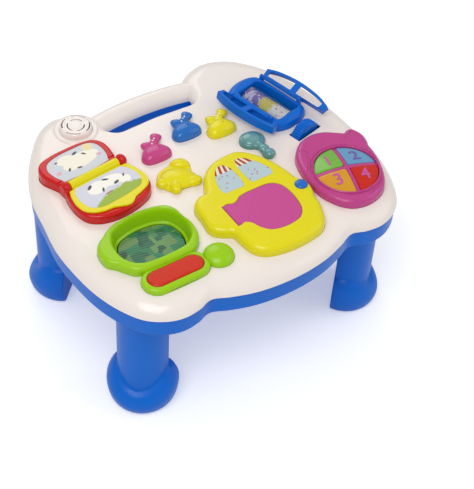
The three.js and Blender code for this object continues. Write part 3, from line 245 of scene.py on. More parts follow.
def skin(name, rings, closed=False):
    """A mesh through rings of equally many points, capped at both ends or closed on itself."""
    mesh = bpy.data.meshes.new(name)
    work = bmesh.new()
    rows = [[work.verts.new(point) for point in ring] for ring in rings]
    for low, high in zip(rows, rows[1:] + rows[:1] if closed else rows[1:]):
        for i in range(len(low)):
            k = (i + 1) % len(low)
            work.faces.new((low[i], low[k], high[k], high[i]))
    if not closed:
        work.faces.new(rows[0][::-1])
        work.faces.new(rows[-1])
    bmesh.ops.recalc_face_normals(work, faces=work.faces)
    work.to_mesh(mesh)
    work.free()
    return new_piece(name, mesh)


def plate(name, points, low, high):
    return skin(name, [at_height(points, low), at_height(points, high)])


def lathe(name, centre, profile, sides=72):
    """A turned piece from a closed profile of radius and height; a solid one starts at the core radius."""
    return skin(name, [[Vector((centre[0] + r * math.cos(a), centre[1] + r * math.sin(a), z))
                        for r, z in profile] for a in round_angles(sides)], closed=True)


def bake(piece):
    """Keeps the result of a piece's modifiers and removes them."""
    graph = bpy.context.evaluated_depsgraph_get()
    mesh = bpy.data.meshes.new_from_object(piece.evaluated_get(graph))
    piece.modifiers.clear()
    piece.data = mesh
    return piece


def combine(piece, others, operation):
    for other in others:
        step = piece.modifiers.new("combine", "BOOLEAN")
        step.operation = operation
        step.object = other
        step.solver = "MANIFOLD"
    bake(piece)
    for other in others:
        bpy.data.objects.remove(other)
    return piece


def cut(piece, *cutters):
    return combine(piece, cutters, "DIFFERENCE")


def weld(piece, *others):
    return combine(piece, others, "UNION")


def shade(piece, material, angle):
    """Gives a piece its finish, with edges above the angle left sharp."""
    mesh = piece.data
    mesh.materials.clear()
    mesh.materials.append(material)
    mesh.polygons.foreach_set("use_smooth", [True] * len(mesh.polygons))
    mesh.set_sharp_from_angle(angle=math.radians(angle))


def settle(piece, node, material=None, angle=32):
    """Finishes a piece that stands for a CAD node, and puts it on that node's body."""
    shade(piece, material or finishes[slots[node]], angle)
    even = piece.modifiers.new("even", "WEIGHTED_NORMAL")
    even.keep_sharp = True
    bake(piece)
    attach(piece, frame["nodes"][node]["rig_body"])
    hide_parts(node)


rim_shares = [
    (0, -1), (0.122, -0.993), (0.245, -0.97), (0.367, -0.926), (0.469, -0.882), (0.551, -0.91),
    (0.645, -0.921), (0.735, -0.896), (0.837, -0.818), (0.914, -0.679), (0.971, -0.485),
    (0.996, -0.277), (1, -0.06), (0.992, 0.162), (0.963, 0.393), (0.906, 0.6), (0.829, 0.776),
    (0.694, 0.938), (0.531, 1), (0.388, 0.952), (0.318, 0.878), (0.302, 0.785), (0.294, 0.693),
    (0.265, 0.635), (0.163, 0.637), (0, 0.645),
]
crown_shares = [
    (0, -0.836), (0.11, -0.831), (0.22, -0.813), (0.327, -0.776), (0.433, -0.739), (0.531, -0.748),
    (0.612, -0.753), (0.678, -0.734), (0.743, -0.693), (0.788, -0.61), (0.833, -0.448),
    (0.853, -0.259), (0.857, -0.055), (0.849, 0.148), (0.824, 0.36), (0.776, 0.536),
    (0.718, 0.674), (0.62, 0.799), (0.522, 0.841), (0.441, 0.822), (0.392, 0.785),
    (0.367, 0.73), (0.343, 0.656), (0.265, 0.592), (0.163, 0.587), (0, 0.595),
]
rim_left_shares = {0.162: 0.971, 0.393: 0.937, 0.6: 0.865, 0.776: 0.768, 0.938: 0.645}
crown_left_shares = {0.148: 0.83, 0.36: 0.8, 0.536: 0.738, 0.674: 0.666, 0.799: 0.582, 0.841: 0.51}
dome_steps = 14
shell_lip = 0.0012
handle_y = 0.1725
handle_bow = 0.011
handle_half = 0.017
handle_reach = 0.092
handle_rise = 0.019
handle_drop = 0.0245
handle_fullness = 0.55
boss_radius = 0.031
boss_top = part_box("top_shell")[1].z
speaker = (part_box("speaker_grille")[0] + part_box("speaker_grille")[1]) / 2
speaker_hole = 0.0243
finishes["white_shell"] = plastic("white_abs", "#f3e9e2", 0.2, 0.4, 0.012)


def body_outline(shares, left_shares):
    left = [(-left_shares.get(y, x), y) for x, y in shares[-2:0:-1]]
    return smooth([Vector((x * half_width, y * half_depth)) for x, y in shares + left], per_span=9, sharp=180)


rim = body_outline(rim_shares, rim_left_shares)
crown = body_outline(crown_shares, crown_left_shares)


def dome(name, wall):
    outer = inset(rim, wall)
    rings = [at_height(outer, seam - 2 * overrun)] if wall else [at_height(inset(rim, shell_lip), seam)]
    for angle in quarter_angles(dome_steps):
        rise = (table_top - wall - seam) * math.sin(angle) if angle or wall else shell_lip
        rings.append(at_height([c.lerp(r, math.cos(angle)) for c, r in zip(crown, outer)], seam + rise))
    return skin(name, rings)


def half_tube(name, wall, height, downwards, reach=handle_reach, stations=24, sides=20):
    """Half of the handle's oval tube, above or below the seam."""
    rings = []
    half = handle_half - wall
    for i in range(stations + 1):
        x = reach * (2 * i / stations - 1)
        y = handle_y + handle_bow * (1 - (x / handle_reach) ** 2)
        foot = seam + downwards * 2 * overrun
        ring = [Vector((x, y + side * half, foot)) for side in (-1, 1)] if wall else []
        for angle in (math.pi * k / sides for k in range(sides + 1)):
            fullness = handle_fullness if downwards > 0 else 1
            across = math.copysign(abs(math.cos(angle)) ** fullness, math.cos(angle))
            z = seam - downwards * (height - wall) * math.sin(angle) ** fullness
            ring.append(Vector((x, y + half * across, z)))
        rings.append(ring)
    return skin(name, rings)


shell = weld(dome("top_shell_look", 0), half_tube("handle_top", 0, handle_rise, -1))
boss_foot = boss_radius + 0.004
boss_profile = [(core, table_top - 0.006), (boss_foot, table_top - 0.006), (boss_foot, table_top - 0.0008),
                (boss_radius + 0.001, table_top + 0.0002), (boss_radius, boss_top - 0.0012),
                (boss_radius - 0.0006, boss_top - 0.0004), (boss_radius - 0.0016, boss_top), (core, boss_top)]
weld(shell, lathe("boss", speaker, boss_profile, 96))
cut(shell, weld(dome("hollow", shell_wall), half_tube("handle_hollow", shell_wall, handle_rise, -1)))

# Each play piece stands in an opening of its own outline, read from the skirt of its CAD node
skirt = {}
for node in ("book_base", "house_panel", "number_panel", "maraca_lamp", "drumstick_head", "window_frame",
             "drum_housing"):
    skirt[node] = flat_loops(node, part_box(node)[0].z)[0]
for node in ("bell_button", "pouch_pink", "pouch_blue", "pouch_yellow"):
    skirt[node] = flat_loops(node, table_top - button_skirt)[0]
openings = [plate("opening_" + node, inset(smooth(outline), -opening_gap), below, above)
            for node, outline in skirt.items()]
wheel_slot_front = 0.0025
wheel_way = Vector(joints["roller_spin"]["axis"][:2])
wheel_way *= math.copysign(1, wheel_way.y)
wheel_hole = [loop for loop in flat_loops("top_shell", table_top)[1:] if len(loop) == 4][0]
wheel_middle = sum(wheel_hole, Vector((0, 0))) / 4
wheel_hole = [point - wheel_way * (wheel_slot_front if (point - wheel_middle).dot(wheel_way) < 0 else 0)
              for point in wheel_hole]
cut(shell, *openings, plate("opening_speaker", circle(speaker, speaker_hole), below, above),
    plate("opening_wheel", wheel_hole, below, above))
settle(shell, "top_shell", angle=38)

# Base shell: one blue injection-moulded polypropylene tray under the cover, with the lower half of the
# handle. Its band shows all round under the white edge; the floor holds the leg sockets and battery box.
band_inset = 0.002
band_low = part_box("base_shell")[0].z
band_lip = 0.0025
band = inset(rim, band_inset)
finishes["blue_plastic"] = plastic("blue_polypropylene", "#0068d0", 0.3, 0.03, 0.04, 0.22)
band_rings = [at_height(inset(band, band_lip * (1 - math.sin(a))), band_low + band_lip * (1 - math.cos(a)))
              for a in quarter_angles(5)]
tray = weld(skin("base_shell_look", band_rings + [at_height(band, seam)]),
            half_tube("handle_low", 0, handle_drop, 1))
tray_hollow = skin("tray_hollow", [at_height(inset(band, shell_wall), z)
                                   for z in (band_low + shell_wall, seam + 2 * overrun)])
weld(tray_hollow, half_tube("handle_hollow", shell_wall, handle_drop, 1, handle_reach - shell_wall))
cut(tray, tray_hollow)
cut(tray, *[plate("floor_hole", loop, band_low - 2 * overrun, band_low + shell_wall + 0.001)
            for loop in flat_loops("base_shell", band_low)[1:]])
settle(tray, "base_shell", angle=35)

# Legs: four hollow blue columns, blow-moulded, flat on the side that faces the table's middle. Each
# swells into a boot-like foot whose shoulder dips in front. Their plugs push up into the tray.
column_radius = 0.0357
foot_radius = 0.051
foot_height = 0.064
cuff_dip = 0.4
flat_offset = 0.015
leg_soft = 0.004
leg_wall = 0.0026
plug_height = 0.012
plug_inset = 0.003
sole_round = 0.0015
foot_shares = [(0, 0.85), (0.12, 0.93), (0.32, 0.985), (0.5, 1), (0.66, 0.97), (0.82, 0.89), (0.93, 0.8),
               (1, 0.7)]


def foot_share(height):
    """The foot's reach at a share of its height, on a smooth curve through the table."""
    if height >= 1:
        return 0
    i = max(k for k in range(len(foot_shares) - 1) if foot_shares[k][0] <= height)
    slopes = []
    for k in (i, i + 1):
        (low, a), (high, b) = foot_shares[max(0, k - 1)], foot_shares[min(k + 1, len(foot_shares) - 1)]
        slopes.append((b - a) / (high - low))
    (low, a), (high, b) = foot_shares[i], foot_shares[i + 1]
    span = high - low
    t = (height - low) / span
    return (a * (2 * t**3 - 3 * t**2 + 1) + slopes[0] * span * (t**3 - 2 * t**2 + t)
            + b * (3 * t**2 - 2 * t**3) + slopes[1] * span * (t**3 - t**2))


def d_section(place, turn, radius_of, flat, z, sides=120):
    """A round outline cut flat on one side, as it is at one height."""
    ring = []
    for angle in round_angles(sides):
        radius = radius_of(angle, z) if callable(radius_of) else radius_of
        x, y = radius * math.cos(angle), radius * math.sin(angle)
        if x - flat > -leg_soft:
            x = flat - leg_soft + leg_soft * math.tanh((x - flat + leg_soft) / leg_soft)
        spot = Matrix.Rotation(turn, 2) @ Vector((x, y))
        ring.append(Vector((place[0] + spot.x, place[1] + spot.y, z)))
    return ring


def foot_reach(angle, z):
    """The outside of the leg: the foot below its dipping shoulder, the column above it."""
    shoulder = foot_height * (1 - cuff_dip * max(0.0, -math.cos(angle)) ** 2)
    swell = foot_radius * foot_share(z / shoulder) - sole_round * max(0.0, 1 - z / 0.003) ** 2
    return max(column_radius, swell)


leg_heights = [0, 0.001, 0.003] + [0.005 + 0.0015 * i for i in range(41)] + [0.08, 0.11, 0.14]
for node in ("leg_front_left", "leg_front_right", "leg_rear_left", "leg_rear_right"):
    low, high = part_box(node)
    side = math.copysign(1, low.x + high.x)
    depth = math.copysign(1, low.y + high.y)
    place = ((high.x if side > 0 else low.x) - side * foot_radius,
             (high.y if depth > 0 else low.y) - depth * foot_radius)
    turn = math.atan2(-depth, -side)
    rings = [d_section(place, turn, foot_reach, flat_offset, z) for z in leg_heights]
    rings.append(d_section(place, turn, column_radius, flat_offset, band_low))
    plug = (column_radius - plug_inset, flat_offset - plug_inset)
    rings += [d_section(place, turn, *plug, z) for z in (band_low, band_low + plug_height)]
    leg = skin(node + "_look", rings)
    cut(leg, skin("hollow", [d_section(place, turn, plug[0] - leg_wall, plug[1] - leg_wall, z)
                             for z in (leg_wall, band_low + plug_height + 2 * overrun)]))
    settle(leg, node, angle=30)

# Speaker: a white vented ABS cap on the left ear, over a black paper cone. The cap is turned, with a
# raised middle button and two rings of curved slots cut through it, and it is pressed into the shell.
cap_low, cap_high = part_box("speaker_grille")
cap_radius = (cap_high.x - cap_low.x) / 2
cap_top = cap_high.z
cap_wall = 0.002
slot_width = 0.0018
slot_depth = 0.008
slot_rings = [{"Slots": 4, "Radius": 0.0198, "Start": math.radians(20), "Sweep": math.radians(60)},
              {"Slots": 3, "Radius": 0.0122, "Start": math.radians(10), "Sweep": math.radians(90)}]
button_radius = 0.0075
ledge_radius = 0.0170
cap_inner = cap_radius - cap_wall
cap_profile = [(core, cap_top - cap_wall), (cap_radius - 0.005, cap_top - cap_wall),
               (cap_inner, cap_top - 0.005), (cap_inner, cap_low.z), (cap_radius, cap_low.z),
               (cap_radius, cap_top - 0.0052), (cap_radius - 0.0007, cap_top - 0.0028),
               (cap_radius - 0.002, cap_top - 0.001), (cap_radius - 0.0042, cap_top),
               (ledge_radius, cap_top), (ledge_radius - 0.0006, cap_top - 0.0006),
               (button_radius + 0.0012, cap_top - 0.0006), (button_radius + 0.0006, cap_top - 0.0003),
               (button_radius, cap_top), (core, cap_top)]
grille = lathe("speaker_grille_look", speaker, cap_profile, 96)


def node_tree(name, sockets):
    """A Geometry Nodes tree with the named inputs, given as a name and a kind for each."""
    tree = bpy.data.node_groups.new(name, "GeometryNodeTree")
    for socket, kind in sockets.items():
        tree.interface.new_socket(socket, in_out="INPUT", socket_type="NodeSocket" + kind)
    tree.interface.new_socket("Geometry", in_out="OUTPUT", socket_type="NodeSocketGeometry")
    return tree, add(tree, "NodeGroupInput").outputs


def end_tree(tree, geometry, material):
    plain = add(tree, "GeometryNodeRealizeInstances", {"Geometry": geometry}).outputs[0]
    finished = add(tree, "GeometryNodeSetMaterial", {"Geometry": plain, "Material": material}).outputs[0]
    add(tree, "NodeGroupOutput", {"Geometry": finished})
    return tree


def grow(piece, tree, sizes):
    """Runs a tree on a piece with its inputs set by name, and keeps the result as a plain mesh."""
    growth = piece.modifiers.new("growth", "NODES")
    growth.node_group = tree
    for socket in tree.interface.items_tree:
        if socket.name in sizes:
            growth[socket.identifier] = sizes[socket.name]
    return bake(piece)


def ring_of_slots():
    """Geometry Nodes: curved bars set evenly round a circle, which cut one ring of slots."""
    tree, given = node_tree("ring_of_slots", {"Slots": "Int", "Radius": "Float", "Start": "Float",
                                              "Sweep": "Float", "Width": "Float", "Depth": "Float"})
    path = {"Resolution": 17, "Radius": given["Radius"], "Start Angle": given["Start"],
            "Sweep Angle": given["Sweep"]}
    arc = add(tree, "GeometryNodeCurveArc", path, mode="RADIUS").outputs[0]
    sizes = {"Width": given["Width"], "Height": given["Depth"]}
    section = add(tree, "GeometryNodeCurvePrimitiveQuadrilateral", sizes).outputs[0]
    sweep = {"Curve": arc, "Profile Curve": section, "Fill Caps": True}
    bar = add(tree, "GeometryNodeCurveToMesh", sweep).outputs[0]
    share = sum_of(tree, "DIVIDE", add(tree, "GeometryNodeInputIndex").outputs[0], given["Slots"])
    turn = add(tree, "ShaderNodeCombineXYZ", {"Z": sum_of(tree, "MULTIPLY", share, math.tau)}).outputs[0]
    spots = add(tree, "GeometryNodePoints", {"Count": given["Slots"]}).outputs[0]
    copies = {"Points": spots, "Instance": bar, "Rotation": turn}
    ring = add(tree, "GeometryNodeInstanceOnPoints", copies).outputs[0]
    return end_tree(tree, ring, finishes["white_shell"])


slot_tree = ring_of_slots()
for sizes in slot_rings:
    cutter = new_piece("slots", bpy.data.meshes.new("slots"))
    grow(cutter, slot_tree, {**sizes, "Width": slot_width, "Depth": slot_depth + overrun})
    cutter.data.transform(Matrix.Translation((speaker.x, speaker.y, cap_top + (overrun - slot_depth) / 2)))
    cut(grille, cutter)
settle(grille, "speaker_grille", angle=35)


def refined(node, bevel=0.0004, angle=32):
    """A copy of a CAD node with its flat faces joined up and its edges softened."""
    mesh = frame["nodes"][node].data.copy()
    work = bmesh.new()
    work.from_mesh(mesh)
    bmesh.ops.remove_doubles(work, verts=work.verts, dist=0.000002)
    bmesh.ops.dissolve_limit(work, angle_limit=math.radians(1), verts=work.verts, edges=work.edges)
    work.to_mesh(mesh)
    work.free()
    piece = new_piece(node + "_look", mesh)
    edge = piece.modifiers.new("edge", "BEVEL")
    edge.width = bevel
    edge.segments = 2
    edge.limit_method = "ANGLE"
    edge.angle_limit = math.radians(40)
    edge.use_clamp_overlap = True
    settle(bake(piece), node, None, angle)


finishes["speaker_dark"] = plastic("black_paper_cone", "#26282c", 0.7, 0.0, 0.15)
refined("speaker_driver", 0.0002)

# Book: a red moulded ABS case in two lobes. A yellow page hinges on a steel pin between its two round
# knobs and lies on the front lobe; printed polyester films lie in the rear lobe's recess and on the page.
book_axis = Vector(joints["page_hinge"]["pos_m"])
book_across = Vector(joints["page_hinge"]["axis"]) * -1
book_along = Vector((-book_across.y, book_across.x, 0))
book_turn = math.atan2(book_across.y, book_across.x)
case_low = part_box("book_base")[0].z
lobe_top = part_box("book_cover_sticker")[0].z
lobe_rim = 0.0012
lobe_edge = 0.0045
lobe_start = 0.0165
rear_half_width = 0.062
rear_reach = 0.085
barrel_half = 0.040
barrel_radius = 0.007
lug_radius = 0.0082
knob_radius = 0.0094
knob_length = 0.012
pin_radius = 0.0016
pin_room = 0.0465
hinge_gap = 0.0003
case_outline = smooth(skirt["book_base"])
film_outline = smooth(flat_loops("book_cover_sticker", lobe_top)[0])


def book_at(across, along, z=None):
    point = book_axis + book_across * across + book_along * along
    return point if z is None else Vector((point.x, point.y, z))


def flat(points):
    points = [Vector(point[:2]) for point in points]
    return points if area_of(points) > 0 else points[::-1]


def rounded(name, points, low, high, radius, steps=7, foot=0.0):
    """A plate with a rounded upper edge; foot draws the skirt in below foot's own height."""
    rings = []
    if foot:
        rings = [at_height(inset(points, 0.0005), z) for z in (low, foot)]
        low = foot + 0.0005
    rings.append(at_height(points, low))
    for angle in quarter_angles(steps):
        rings.append(at_height(inset(points, radius * (1 - math.cos(angle))),
                               high - radius + radius * math.sin(angle)))
    return skin(name, rings)


def rod(name, start, end, radius, sides=40, soft=0.0):
    """A round bar between two points, with its end edges softened."""
    turn = (end - start).to_track_quat("Z", "Y").to_matrix()
    length = (end - start).length
    stations = [(0, radius - soft), (soft, radius), (length - soft, radius), (length, radius - soft)]
    return skin(name, [[start + turn @ Vector((r * math.cos(a), r * math.sin(a), h))
                        for a in round_angles(sides)] for h, r in (stations if soft else stations[1:3])])


def ball(name, centre, radii, turn=0.0, segments=32):
    """An egg-shaped lump that is blended into a moulded shape."""
    mesh = bpy.data.meshes.new(name)
    work = bmesh.new()
    bmesh.ops.create_uvsphere(work, u_segments=segments, v_segments=segments // 2, radius=1)
    place = Matrix.Translation(centre) @ Matrix.Rotation(turn, 4, "Z") @ Matrix.Diagonal((*radii, 1))
    bmesh.ops.transform(work, matrix=place, verts=work.verts)
    work.to_mesh(mesh)
    work.free()
    return new_piece(name, mesh)


case = rounded("book_base_look", case_outline, case_low, lobe_top, lobe_edge, foot=table_top + 0.0003)
collar = rounded("rim", case_outline, table_top + 0.001, lobe_top + lobe_rim, lobe_edge)
rear_corners = [(-rear_half_width, lobe_start), (rear_half_width, lobe_start),
                (rear_half_width, rear_reach), (-rear_half_width, rear_reach)]
rear_half = plate("rear", flat([book_at(*corner) for corner in rear_corners]),
                  lobe_top - 2 * overrun, lobe_top + 2 * overrun)
knobs = []
for side in (-1, 1):
    near, far = barrel_half + hinge_gap, barrel_half + hinge_gap + knob_length
    knobs.append(rod("knob", book_at(side * near, 0), book_at(side * far, 0), lug_radius, 48, 0.0025))
    knobs.append(ball("knob_ball", book_at(side * (near + knob_length / 2), 0),
                      (knob_length / 2, knob_radius, knob_radius), book_turn, 40))
    corners = [book_at(side * x, y) for x, y in ((near, -lug_radius), (far - 0.002, -lug_radius),
                                                 (far - 0.002, lug_radius), (near, lug_radius))]
    knobs.append(plate("knob_foot", flat(corners), table_top + 0.0003, book_axis.z))
weld(case, combine(collar, [rear_half], "INTERSECT"), *knobs)
cut(case, plate("film_recess", inset(film_outline, -opening_gap), lobe_top, lobe_top + 2 * overrun),
    rod("barrel_room", book_at(-barrel_half - hinge_gap, 0), book_at(barrel_half + hinge_gap, 0),
        barrel_radius + 0.0005, 48),
    rod("pin_bore", book_at(-pin_room, 0), book_at(pin_room, 0), pin_radius + 0.0001, 24))
finishes["red_plastic"] = plastic("red_abs", "#cc0408", 0.26, 0.15)
settle(case, "book_base")


def plated_steel():
    """Zinc-plated steel wire: metallic, with a streaky drawn gloss."""
    material, tree, place = new_material("zinc_plated_steel")
    streaks = noise(tree, place, 600.0, 3.0)
    surface(tree, mixed(tree, streaks, linear("#a9adb2"), linear("#c9cdd2")),
            ranged(tree, streaks, 0.0, 1.0, 0.22, 0.4), streaks, 0.00004, metallic=0.95)
    return material


finishes["steel"] = plated_steel()
refined("book_hinge_pin", 0.0002)
page_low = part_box("book_page_sticker")[0].z
page_floor = lobe_top + 0.0005
page_film = smooth(flat_loops("book_page_sticker", page_low)[0])
page = rounded("book_page_look", smooth(flat_loops("book_page", page_floor)[0], sharp=50),
               page_floor, page_low + 0.0001, 0.0011, 4)
cut(page, plate("film_bed", inset(page_film, -opening_gap), page_low, page_low + overrun))
weld(page, rod("barrel", book_at(-barrel_half, 0), book_at(barrel_half, 0), barrel_radius, 48, 0.0006))
cut(page, rod("pin_bore", book_at(-0.06, 0), book_at(0.06, 0), pin_radius + 0.00015, 24))
finishes["yellow_plastic"] = plastic("yellow_abs", "#e6da00", 0.26, 0.15, 0.025)
settle(page, "book_page")


def film(name, build):
    """A printed polyester film: the picture below a clear gloss, with a faint 1 mm waviness."""
    material, tree, place = new_material(name)
    split = add(tree, "ShaderNodeSeparateXYZ", {"Vector": place})
    colour = build(tree, place, split.outputs["X"], split.outputs["Y"])
    surface(tree, colour, 0.22, noise(tree, place, 900.0), 0.00002, coat_weight=0.25, coat_roughness=0.06,
            specular_ior_level=moulded_specular)
    return material


def blot(tree, x, y, centre, radii, turn=0.0, soft=0.0004):
    """1 inside an ellipse and 0 outside it."""
    c, s = math.cos(turn), math.sin(turn)
    dx, dy = sum_of(tree, "SUBTRACT", x, centre[0]), sum_of(tree, "SUBTRACT", y, centre[1])
    terms = []
    for p, q, radius in ((c, s, radii[0]), (-s, c, radii[1])):
        reach = sum_of(tree, "ADD", sum_of(tree, "MULTIPLY", dx, p / radius),
                       sum_of(tree, "MULTIPLY", dy, q / radius))
        terms.append(sum_of(tree, "MULTIPLY", reach, reach))
    edge = soft / min(radii)
    return ranged(tree, sum_of(tree, "SQRT", sum_of(tree, "ADD", *terms)), 1 + edge, 1 - edge)


def painted(tree, colour, *layers):
    """Paints colours over a ground: each layer is a share and a hex colour."""
    for share, hue in layers:
        colour = mixed(tree, share, colour, linear(hue))
    return colour


def book_blots(tree, x, y, spots):
    """Ellipses on the book: across, along, two radii, a turn and a colour for each."""
    return [(blot(tree, x, y, book_at(*spot[:2]), spot[2:4], spot[4] + book_turn), spot[5]) for spot in spots]


cover_spots = [
    (0.004, 0.036, 0.030, 0.013, 0.1, "#f1ecda"), (-0.014, 0.047, 0.014, 0.009, 0, "#f1ecda"),
    (0.026, 0.052, 0.008, 0.007, 0, "#e8d9a0"), (-0.036, 0.030, 0.0045, 0.003, 0.4, "#d9a8b8"),
    (0.031, 0.031, 0.0040, 0.0028, -0.3, "#d9a8b8"), (-0.020, 0.028, 0.0036, 0.0016, 0.9, "#2c2628"),
    (-0.006, 0.024, 0.0040, 0.0017, -0.2, "#2c2628"), (0.014, 0.044, 0.0036, 0.0016, -0.9, "#2c2628"),
    (0.004, 0.052, 0.0045, 0.0020, 0.3, "#2c2628"), (-0.028, 0.050, 0.0026, 0.0014, 0.2, "#2c2628"),
]
page_spots = [
    (-0.012, -0.026, 0.016, 0.011, 0.2, "#f4f0e6"), (0.012, -0.025, 0.018, 0.010, -0.1, "#f4f0e6"),
    (0.028, -0.033, 0.009, 0.008, 0, "#f4f0e6"), (-0.021, -0.020, 0.0052, 0.0022, 0.6, "#2a2426"),
    (-0.008, -0.034, 0.0044, 0.0016, 1.0, "#2a2426"), (0.005, -0.019, 0.0050, 0.0018, -0.4, "#2a2426"),
    (0.015, -0.032, 0.0048, 0.0022, 0.3, "#2a2426"), (0.031, -0.026, 0.0030, 0.0014, 0.9, "#2a2426"),
    (-0.004, -0.043, 0.0075, 0.0016, 0.1, "#b0685c"), (0.022, -0.041, 0.0060, 0.0015, 0.2, "#b0685c"),
]


def cloud_cover(tree, place, x, y):
    """Pale lilac sky, a cream cloud bank, blossoms and dark seeds blown across: the rear lobe."""
    return painted(tree, linear("#ccd0d6"), *book_blots(tree, x, y, cover_spots))


def hill_page(tree, place, x, y):
    """Pale sky, white clouds, dark drifting leaves and a jagged green hill: the page."""
    slope = sum_of(tree, "SUBTRACT", y, 0.006)
    jagged = sum_of(tree, "MULTIPLY_ADD", noise(tree, place, 260.0), 0.012, slope)
    hill = blot(tree, x, jagged, book_at(0.006, -0.066), (0.050, 0.024), book_turn + 0.12)
    return painted(tree, linear("#cfd0dc"), *book_blots(tree, x, y, page_spots), (hill, "#94b018"))


book_films = (("book_cover_sticker", film_outline, cloud_cover), ("book_page_sticker", page_film, hill_page))
for node, points, build in book_films:
    low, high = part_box(node)
    finish = film(node.replace("sticker", "film"), build)
    settle(rounded(node + "_look", points, low.z, high.z, 0.0002, 2), node, finish)

# Drum: one lime moulded ABS piece, a basin with a fat rim and a grip bulging out at its left, and a low
# collar beside it. It is screwed up into the shell; the green floor and the red key press down in it.
drum_low, drum_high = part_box("drum_housing")
drum_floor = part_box("drum_pad")[1].z
drum_place = (-0.133, -0.076)
drum_half = (0.057, 0.045)
drum_shares = [
    (0.92, 0.18), (0.97, -0.12), (0.95, -0.5), (0.83, -0.86), (0.6, -1.12), (0.3, -1.18), (-0.2, -1.18),
    (-0.7, -1.15), (-0.95, -1.02), (-1.1, -0.78), (-1.22, -0.55), (-1.38, -0.3), (-1.4, 0), (-1.36, 0.28),
    (-1.22, 0.5), (-1.03, 0.66), (-0.88, 0.8), (-0.66, 0.92), (-0.32, 1), (0.05, 1.02), (0.46, 0.96),
    (0.74, 0.82), (0.88, 0.56),
]
drum_edge = 0.0065
basin_draft = 0.004
collar_top = table_top + 0.008
collar_half = (0.0495, 0.0215)
collar_edge = 0.0045
basin_steps = [(0.022, 0.0030), (0.012, 0.0015), (0.007, 0.0006), (0.004, -0.0004), (0.002, -0.0016),
               (0.0008, -0.0028), (0, -0.0046), (-0.001, -0.0046)]
key_low, key_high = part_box("drumstick_key")
key_half = (0.041, 0.014)
key_place = (key_low + key_high) / 2
key_gap = 0.0006
stem_radius = 0.004
head_low, head_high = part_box("drumstick_head")
head_place = (head_low + head_high) / 2
head_radius = (head_high.x - head_low.x) / 2
grip_crease = [(-0.1835, -0.0585), (-0.1845, -0.0665), (-0.1825, -0.0815), (-0.1770, -0.0925)]
crease_depth = 0.0018


def pill(centre, half_length, half_breadth, sides=24):
    """An outline with two straight sides and round ends, lying along X."""
    points = []
    straight = half_length - half_breadth
    for side in (1, -1):
        for angle in (math.pi * (i / sides - 0.5) for i in range(sides + 1)):
            points.append(Vector((centre[0] + side * (straight + half_breadth * math.cos(angle)),
                                  centre[1] + side * half_breadth * math.sin(angle))))
    return points


def stem_under(node, x, y, top=table_top):
    """The stem of a button, from the bottom of its CAD node up into the button."""
    return rod("stem", Vector((x, y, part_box(node)[0].z)), Vector((x, y, top)), stem_radius, 24)


def button_profile(radius, foot, edge, top, steps, fullness=1.0):
    """A round button to be turned: upright to its edge, then domed."""
    crown = [(radius * math.cos(a) ** fullness, edge + (top - edge) * math.sin(a))
             for a in quarter_angles(steps)[1:-1]]
    return [(core, foot), (radius, foot), (radius, edge), *crown, (core, top)]


def crease(name, line, z, radius, per_span=5):
    """A rod bent through the points of a line: the cutter for a shallow groove in a mould."""
    points = [Vector(spot) for spot in line]
    points = [points[0] * 2 - points[1], *points, points[-1] * 2 - points[-2]]
    path = []
    for a, b, c, d in zip(points, points[1:], points[2:], points[3:]):
        for k in range(per_span):
            t = k / per_span
            path.append((b * 2 + (c - a) * t + (a * 2 - b * 5 + c * 4 - d) * t**2
                         + (b * 3 - a - c * 3 + d) * t**3) / 2)
    path.append(points[-2])
    rings = []
    for i, point in enumerate(path):
        ahead = (path[min(i + 1, len(path) - 1)] - path[max(i - 1, 0)]).normalized()
        taper = radius * (0.35 if i in (0, len(path) - 1) else 1)
        rings.append([Vector((point.x - ahead.y * taper * math.cos(a),
                              point.y + ahead.x * taper * math.cos(a),
                              z + taper * math.sin(a))) for a in round_angles(12)])
    return skin(name, rings)


drum_spots = [(drum_place[0] + x * drum_half[0], drum_place[1] + y * drum_half[1]) for x, y in drum_shares]
basin_outline = inset(smooth(flat_loops("drum_housing", drum_floor)[0]), -basin_draft)
collar_place = (key_place.x + 0.0005, key_place.y)
housing = rounded("drum_housing_look", smooth(flat(drum_spots)), drum_low.z, drum_high.z, drum_edge, 9)
weld(housing, rounded("collar", pill(collar_place, *collar_half), drum_low.z, collar_top, collar_edge))
basin_foot = inset(basin_outline, 0.0055)
basin_rings = [at_height(basin_foot, z) for z in (drum_low.z - overrun, drum_floor + opening_gap)]
basin_rings += [at_height(inset(basin_outline, out), drum_high.z - drop) for drop, out in basin_steps]
key_hole = pill(key_place, key_half[0] + key_gap, key_half[1] + key_gap)
cut(housing, skin("basin", basin_rings), plate("key_hole", key_hole, drum_low.z - overrun, above),
    plate("head_hole", circle(head_place, head_radius + key_gap), drum_low.z - overrun, above))
cut(housing, crease("grip_crease", grip_crease, drum_high.z + 0.0002, crease_depth))
finishes["lime_plastic"] = plastic("lime_abs", "#9ace00", 0.26, 0.15, 0.03)
settle(housing, "drum_housing")
finishes["stick_red"] = plastic("red_orange_abs", "#cc2600", 0.26, 0.15)
stick = rounded("drumstick_key_look", pill(key_place, *key_half), table_top - 0.012,
                key_high.z - 0.0004, 0.0028)
weld(stick, stem_under("drumstick_key", key_place.x, key_place.y, table_top - button_foot))
settle(stick, "drumstick_key")
head_profile = button_profile(head_radius, head_low.z, table_top + 0.0015, head_high.z, 14)
settle(lathe("drumstick_head_look", head_place, head_profile, 64), "drumstick_head")


